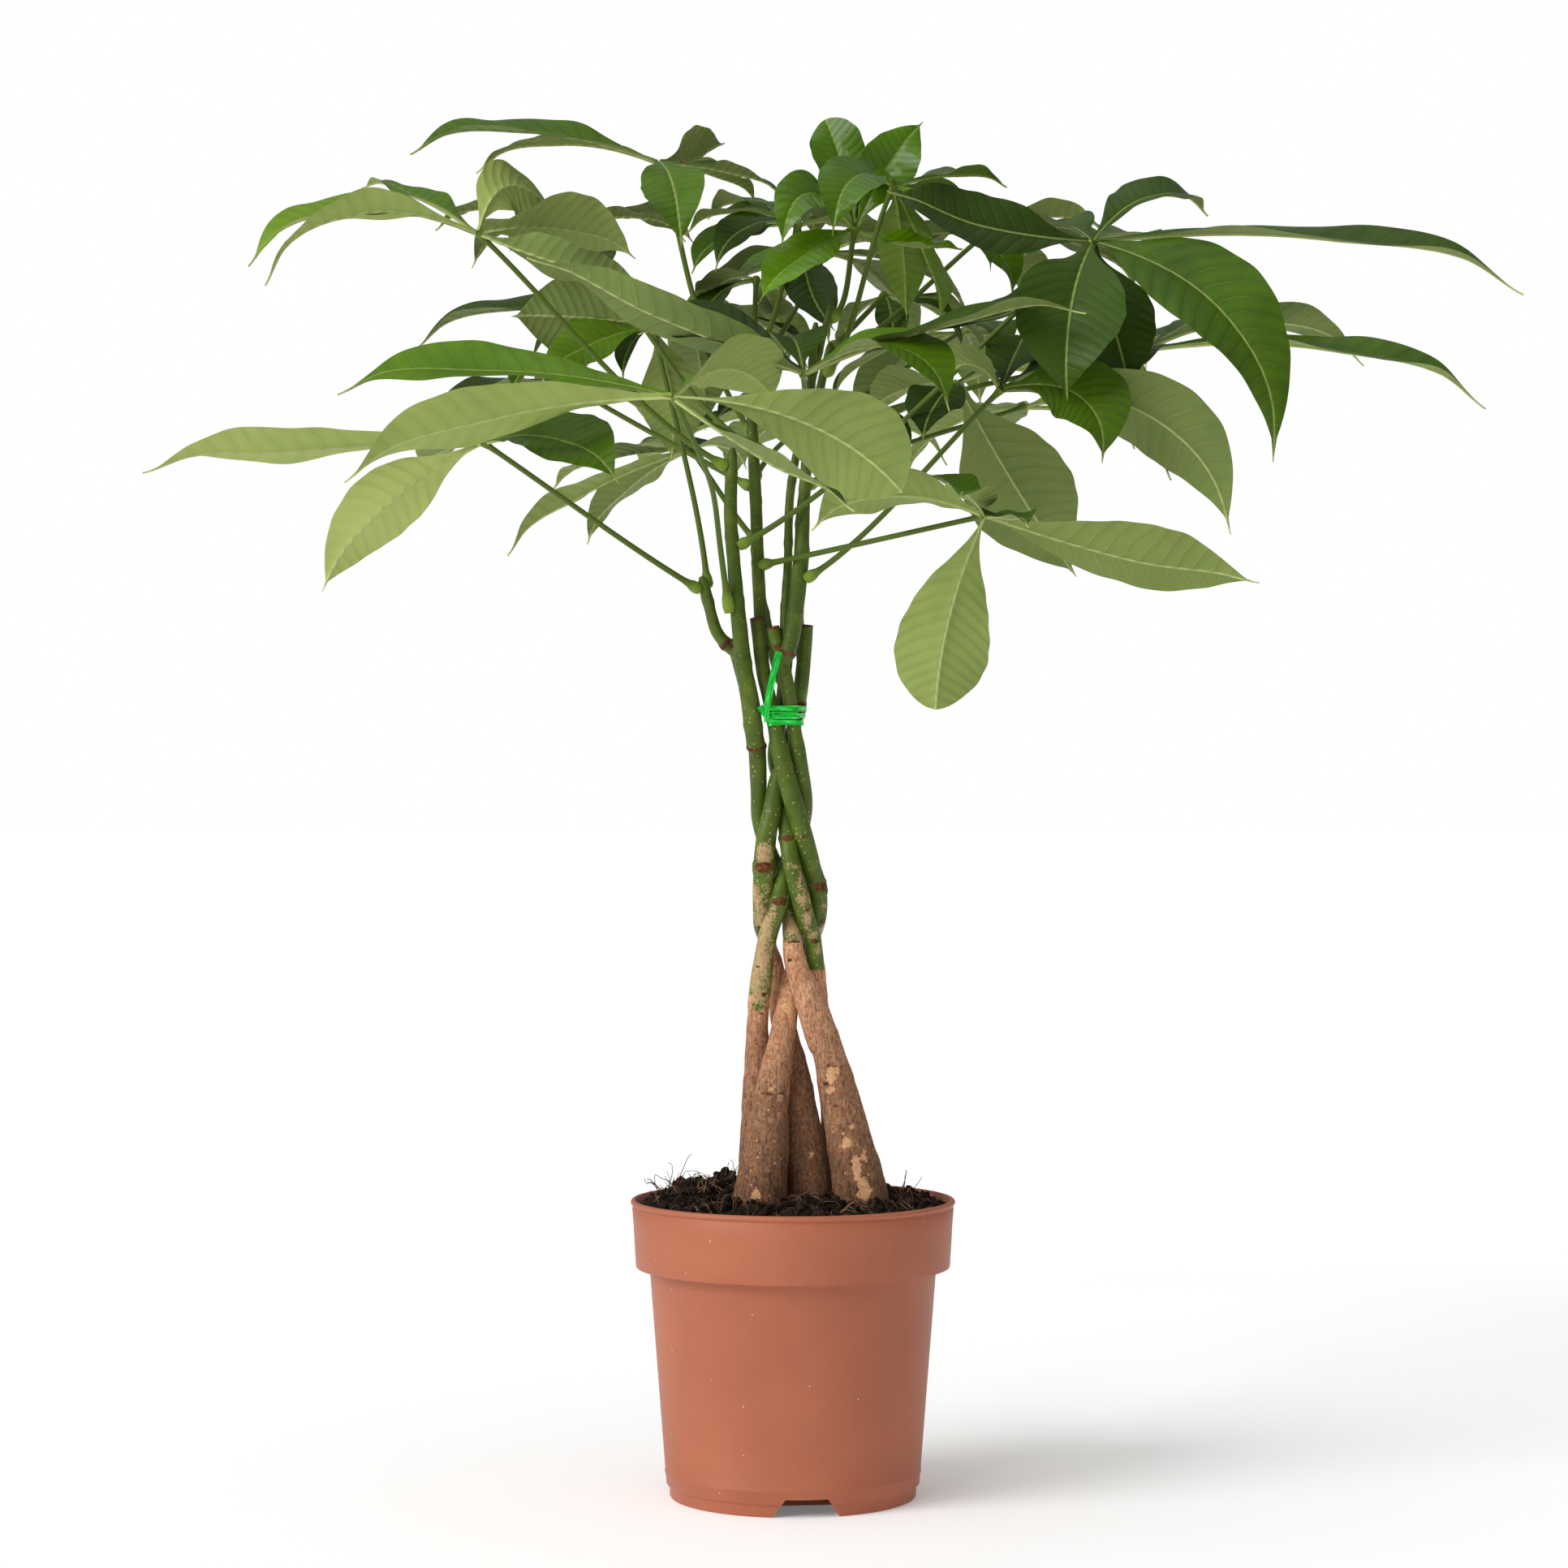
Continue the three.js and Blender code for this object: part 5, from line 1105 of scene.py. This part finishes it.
def leafBlade(name, groundColours, veinColour, surface, ribShare, veinShare, netRelief):
    # a living leaf: pale midrib 1.2 mm wide, side veins every 6 to 11 mm curving to the margin, a
    # fine net between them; veins are drawn 0.7 mm wide, coarser than real, so that they show
    material, tree = newMaterial(name)
    marks = addNode(tree, "Attribute", {"attribute_name": "marks"})
    veins, across, toneAndPaintedLight = addNode(tree, "SeparateXYZ", {"Vector": marks.outputs["Vector"]}).outputs
    margin = addNode(tree, "Attribute", {"attribute_name": "margin"}).outputs["Fac"]
    place = addNode(tree, "TexCoord").outputs["Object"]
    wobble = addNode(tree, "TexNoise", {"Vector": place, "Scale": 45.0, "Detail": 2.0})
    bent = addNode(tree, "Math", {"operation": "MULTIPLY_ADD", 0: wobble, 1: 0.7, 2: veins})
    turned = addNode(tree, "Math", {"operation": "MULTIPLY", 0: bent, 1: math.pi})
    swing = addNode(tree, "Math", {"operation": "SINE", 0: turned})
    puff = addNode(tree, "Math", {"operation": "ABSOLUTE", 0: swing})
    sideVein = addNode(tree, "MapRange", {"Value": puff, "From Min": 0.16, "From Max": 0.02})
    midrib = addNode(tree, "MapRange", {"Value": across, "From Min": 0.75, "From Max": 0.4})
    fade = addNode(tree, "MapRange", {"Value": margin, "From Min": 1.0, "From Max": 0.3, "To Min": 0.35})
    # the net of finest veins, 2 mm wide; clouds of lighter and darker green, 35 mm across
    net = addNode(tree, "TexVoronoi", {"feature": "DISTANCE_TO_EDGE", "Vector": place, "Scale": 480.0})
    cloud = addNode(tree, "TexNoise", {"Vector": place, "Scale": 28.0, "Detail": 5.0, "Roughness": 0.6})
    # the tone, each leaflet's own green with painted light and shade, sets where on the ramp its ground
    # colour lies
    shade = addNode(tree, "Math", {"operation": "MULTIPLY_ADD", 0: cloud, 1: 0.4, 2: toneAndPaintedLight})
    puffed = addNode(tree, "Math", {"operation": "MULTIPLY_ADD", 0: puff, 1: 0.08, 2: shade})
    shifted = addNode(tree, "Math", {"operation": "SUBTRACT", 0: puffed, 1: 0.25})
    patchy = addNode(tree, "MapRange", {"Value": cloud, "From Min": 0.38, "From Max": 0.62, "To Min": 0.25})
    for factor in (patchy, fade, veinShare):
        sideVein = addNode(tree, "Math", {"operation": "MULTIPLY", 0: sideVein, 1: factor})
    strong = addNode(tree, "Math", {"operation": "MULTIPLY", 0: midrib, 1: ribShare})
    colour = addNode(tree, "ValToRGB", {"Fac": shifted, "stops": groundColours})
    for share in (sideVein, strong):
        colour = addNode(tree, "MixRGB", {"Fac": share, "Color1": colour, "Color2": veinColour})
    netted = addNode(tree, "Math", {"operation": "MULTIPLY_ADD", 0: net, 1: 0.12, 2: puff})
    bump = addNode(tree, "Bump", {
        "Height": netted, "Strength": 1.0, "Distance": abs(netRelief), "invert": netRelief < 0})
    return surfaced(material, {**surface, "Base Color": colour, "Normal": bump})


def leafStalk():
    # fresh green stalks, paler and yellower at the swollen joints
    material, tree = newMaterial("freshLeafStalk")
    marks = addNode(tree, "Attribute", {"attribute_name": "marks"})
    swollen = addNode(tree, "SeparateXYZ", {"Vector": marks.outputs["Vector"]})
    colour = addNode(tree, "ValToRGB", {
        "Fac": swollen, "stops": [(0.0, "#55691F"), (0.5, "#697F28"), (1.0, "#7A9330")]})
    place = addNode(tree, "TexCoord").outputs["Object"]
    grain = addNode(tree, "TexNoise", {"Vector": place, "Scale": 500.0, "Detail": 2.0})  # 2 mm
    bump = addNode(tree, "Bump", {"Height": grain, "Strength": 0.2, "Distance": 0.0003})
    return surfaced(material, {
        "Base Color": colour, "Normal": bump, "Roughness": 0.45, "IOR": 1.45, "Specular IOR Level": 0.25})


upperColours = [(0.0, "#202F0A"), (0.35, "#354F0B"), (0.65, "#50740A"), (1.0, "#76961A")]
underColours = [(0.0, "#627440"), (0.4, "#7D8E4A"), (0.7, "#98A95A"), (1.0, "#AFBC6C")]
youngColours = [(0.0, "#2B4200"), (0.4, "#456A00"), (0.75, "#638E02"), (1.0, "#86AB16")]
youngUnder = [(0.0, "#5C7626"), (0.5, "#728C34"), (1.0, "#8DA649")]


def makeLeaves():
    f = leafForm
    stalk = leafStalk()
    grown = [
        leafBlade("leafUpperSide", upperColours, "#A7B664",
                  {"Roughness": 0.4, "IOR": 1.42, "Specular IOR Level": 0.2}, 0.5, 0.14, 0.0003),
        leafBlade("leafUnderside", underColours, "#BCC680",
                  {"Roughness": 0.62, "IOR": 1.4, "Specular IOR Level": 0.2}, 0.75, 0.3, -0.0004), stalk]
    young = [
        leafBlade("youngLeafUpperSide", youngColours, "#8FAA3A",
                  {"Roughness": 0.34, "IOR": 1.45, "Specular IOR Level": 0.2, "Coat Weight": 0.25,
                   "Coat Roughness": 0.12}, 0.5, 0.14, 0.0003),
        leafBlade("youngLeafUnderside", youngUnder, "#A9BE5E",
                  {"Roughness": 0.5, "IOR": 1.4, "Specular IOR Level": 0.2}, 0.7, 0.25, -0.0004), stalk]
    crossed = []
    top = len(f["columns"]) - 1
    for name, leaf in leaves.items():
        hub = Vector(leaf["hub"])
        leaflets = leaf.get("leaflets") or spreadLeaflets(*leaf["spread"])
        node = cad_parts[name]
        corners = KDTree(len(node.data.vertices))
        for i, vertex in enumerate(node.data.vertices):
            corners.insert(vertex.co, i)
        corners.balance()
        shape = newShape()
        line = petioleLine(leaf)
        stalkRings = tubeRings(line, f["stalkSides"])
        thickest = max(station.w for station in line)
        swollen = [smooth(1.4, thickest, station.w) for station in line]
        stalkMarks = [[(share, 0.0, 0.0, 0.0)] * f["stalkSides"] for share in swollen]
        addSkin(shape, stalkRings, stalkMarks, lambda place: 2, (2, 2))
        own = [[ring + ring[:1] for ring in stalkRings]]
        base = sum(ord(letter) for letter in name)
        for number, leaflet in enumerate(leaflets):
            x, y, z, width, rise, show = leaflet
            depth, height = frameShift(corners, hub, leaflet)
            # tone: each leaflet's own green and painted light and shade; listed tones are darker for leaflets
            # in shade and lighter for lit ones
            toneAndPaintedLight = leaf.get("toneAndPaintedLight", 0.32) + 0.16 * math.sin(base + 2.7 * number)
            if "tonesAndPaintedLight" in leaf:
                toneAndPaintedLight = leaf["tonesAndPaintedLight"][number]
            kind = next((k for k in ("late", "blunt", "early") if number in leaf.get(k, ())), "plain")

            def rings(moved, stations, columns):
                return leafletRings(hub, moved, number, toneAndPaintedLight, kind, stations, columns)

            best = None
            for dy, dz, turn in nudges:
                moved = [x, y + depth + dy, z + height + dz, width, rise, show + turn]
                _, _, rows = rings(moved, f["coarseStations"], f["coarseColumns"])
                count = crossings(rows[1:])
                if best is None or count < best[0]:
                    best = (count, moved, rows)
                if count == 0:
                    break
            count, moved, rows = best
            if count:
                crossed.append((name, number, count))
            own.append(rows[2:])
            fineRings, marks, _ = rings(moved, f["stations"], f["columns"])
            addSkin(shape, fineRings, marks, lambda place: 0 if place < top else 1, (2, 1), creases=(0, top))
        for rows in own:
            placed.append((boxOf(rows), gridTree(rows)))
        finish, slotName = (young, "young_leaf") if leaf.get("young") else (grown, "leaf")
        newPiece(name.replace("leaf", "palmate_leaf"), shape, finish, name)
    print("leaflets that still cross something:", crossed)


makeLeaves()
print("leaves made")

# Stage: pale floor, soft light, and the camera of the photograph
stageForm = {
    "floor": 60, "distance": 2.0, "height": 0.373, "aside": -0.0047, "lens": 87.49, "sensor": 36,
    "roomLight": 0.38,
    "lights": {  # direction towards each soft light, its strength and how many degrees wide it is
        "keyLight": ((-0.8, -0.55, 0.55), 1.95, 35),
        "topLight": ((-0.2, -0.1, 1.0), 0.6, 60),
        "glintLight": ((-0.35, -0.75, 0.6), 0.2, 9),  # small, for the shine of the young leaves
    },
}


def makeStage():
    floorMesh = bpy.data.meshes.new("floor")
    half = stageForm["floor"] / 2
    corners = [(-half, -half, 0), (half, -half, 0), (half, half, 0), (-half, half, 0)]
    floorMesh.from_pydata(corners, [], [(0, 1, 2, 3)])
    floor = addObject("floor", floorMesh)
    floorMesh.materials.append(surfaced(newMaterial("paleStudioFloor")[0], {
        "Base Color": "#FCFCFC", "Roughness": 0.8, "Specular IOR Level": 0.0,
        "Emission Color": "#FFFFFF", "Emission Strength": 0.15}))

    world = bpy.data.worlds.new("softStudio")
    world.use_nodes = True
    sky = world.node_tree
    sky.nodes.clear()
    seen = addNode(sky, "LightPath")
    lit = addNode(sky, "Background", {"Color": "#FFFFFF", "Strength": stageForm["roomLight"]})
    plain = addNode(sky, "Background", {"Color": "#FFFFFF", "Strength": 1.0})
    both = addNode(sky, "MixShader", {0: seen.outputs["Is Camera Ray"], 1: lit, 2: plain})
    addNode(sky, "OutputWorld", {"Surface": both})
    bpy.context.scene.world = world

    for name, (direction, strength, spread) in stageForm["lights"].items():
        light = bpy.data.lights.new(name, "SUN")
        light.energy = strength
        light.angle = math.radians(spread)
        lamp = addObject(name, light)
        lamp.rotation_euler = Vector(direction).to_track_quat("Z", "Y").to_euler()

    lens = bpy.data.cameras.new("photoCamera")
    lens.sensor_width = stageForm["sensor"]
    lens.lens = stageForm["lens"]
    lens.clip_start = 0.05
    camera = addObject("photoCamera", lens)
    camera.location = (stageForm["aside"], -stageForm["distance"], stageForm["height"])
    camera.rotation_euler = (math.pi / 2, 0, 0)
    bpy.context.scene.camera = camera
    bpy.context.scene.view_settings.view_transform = "Standard"


makeStage()
print("stage made")
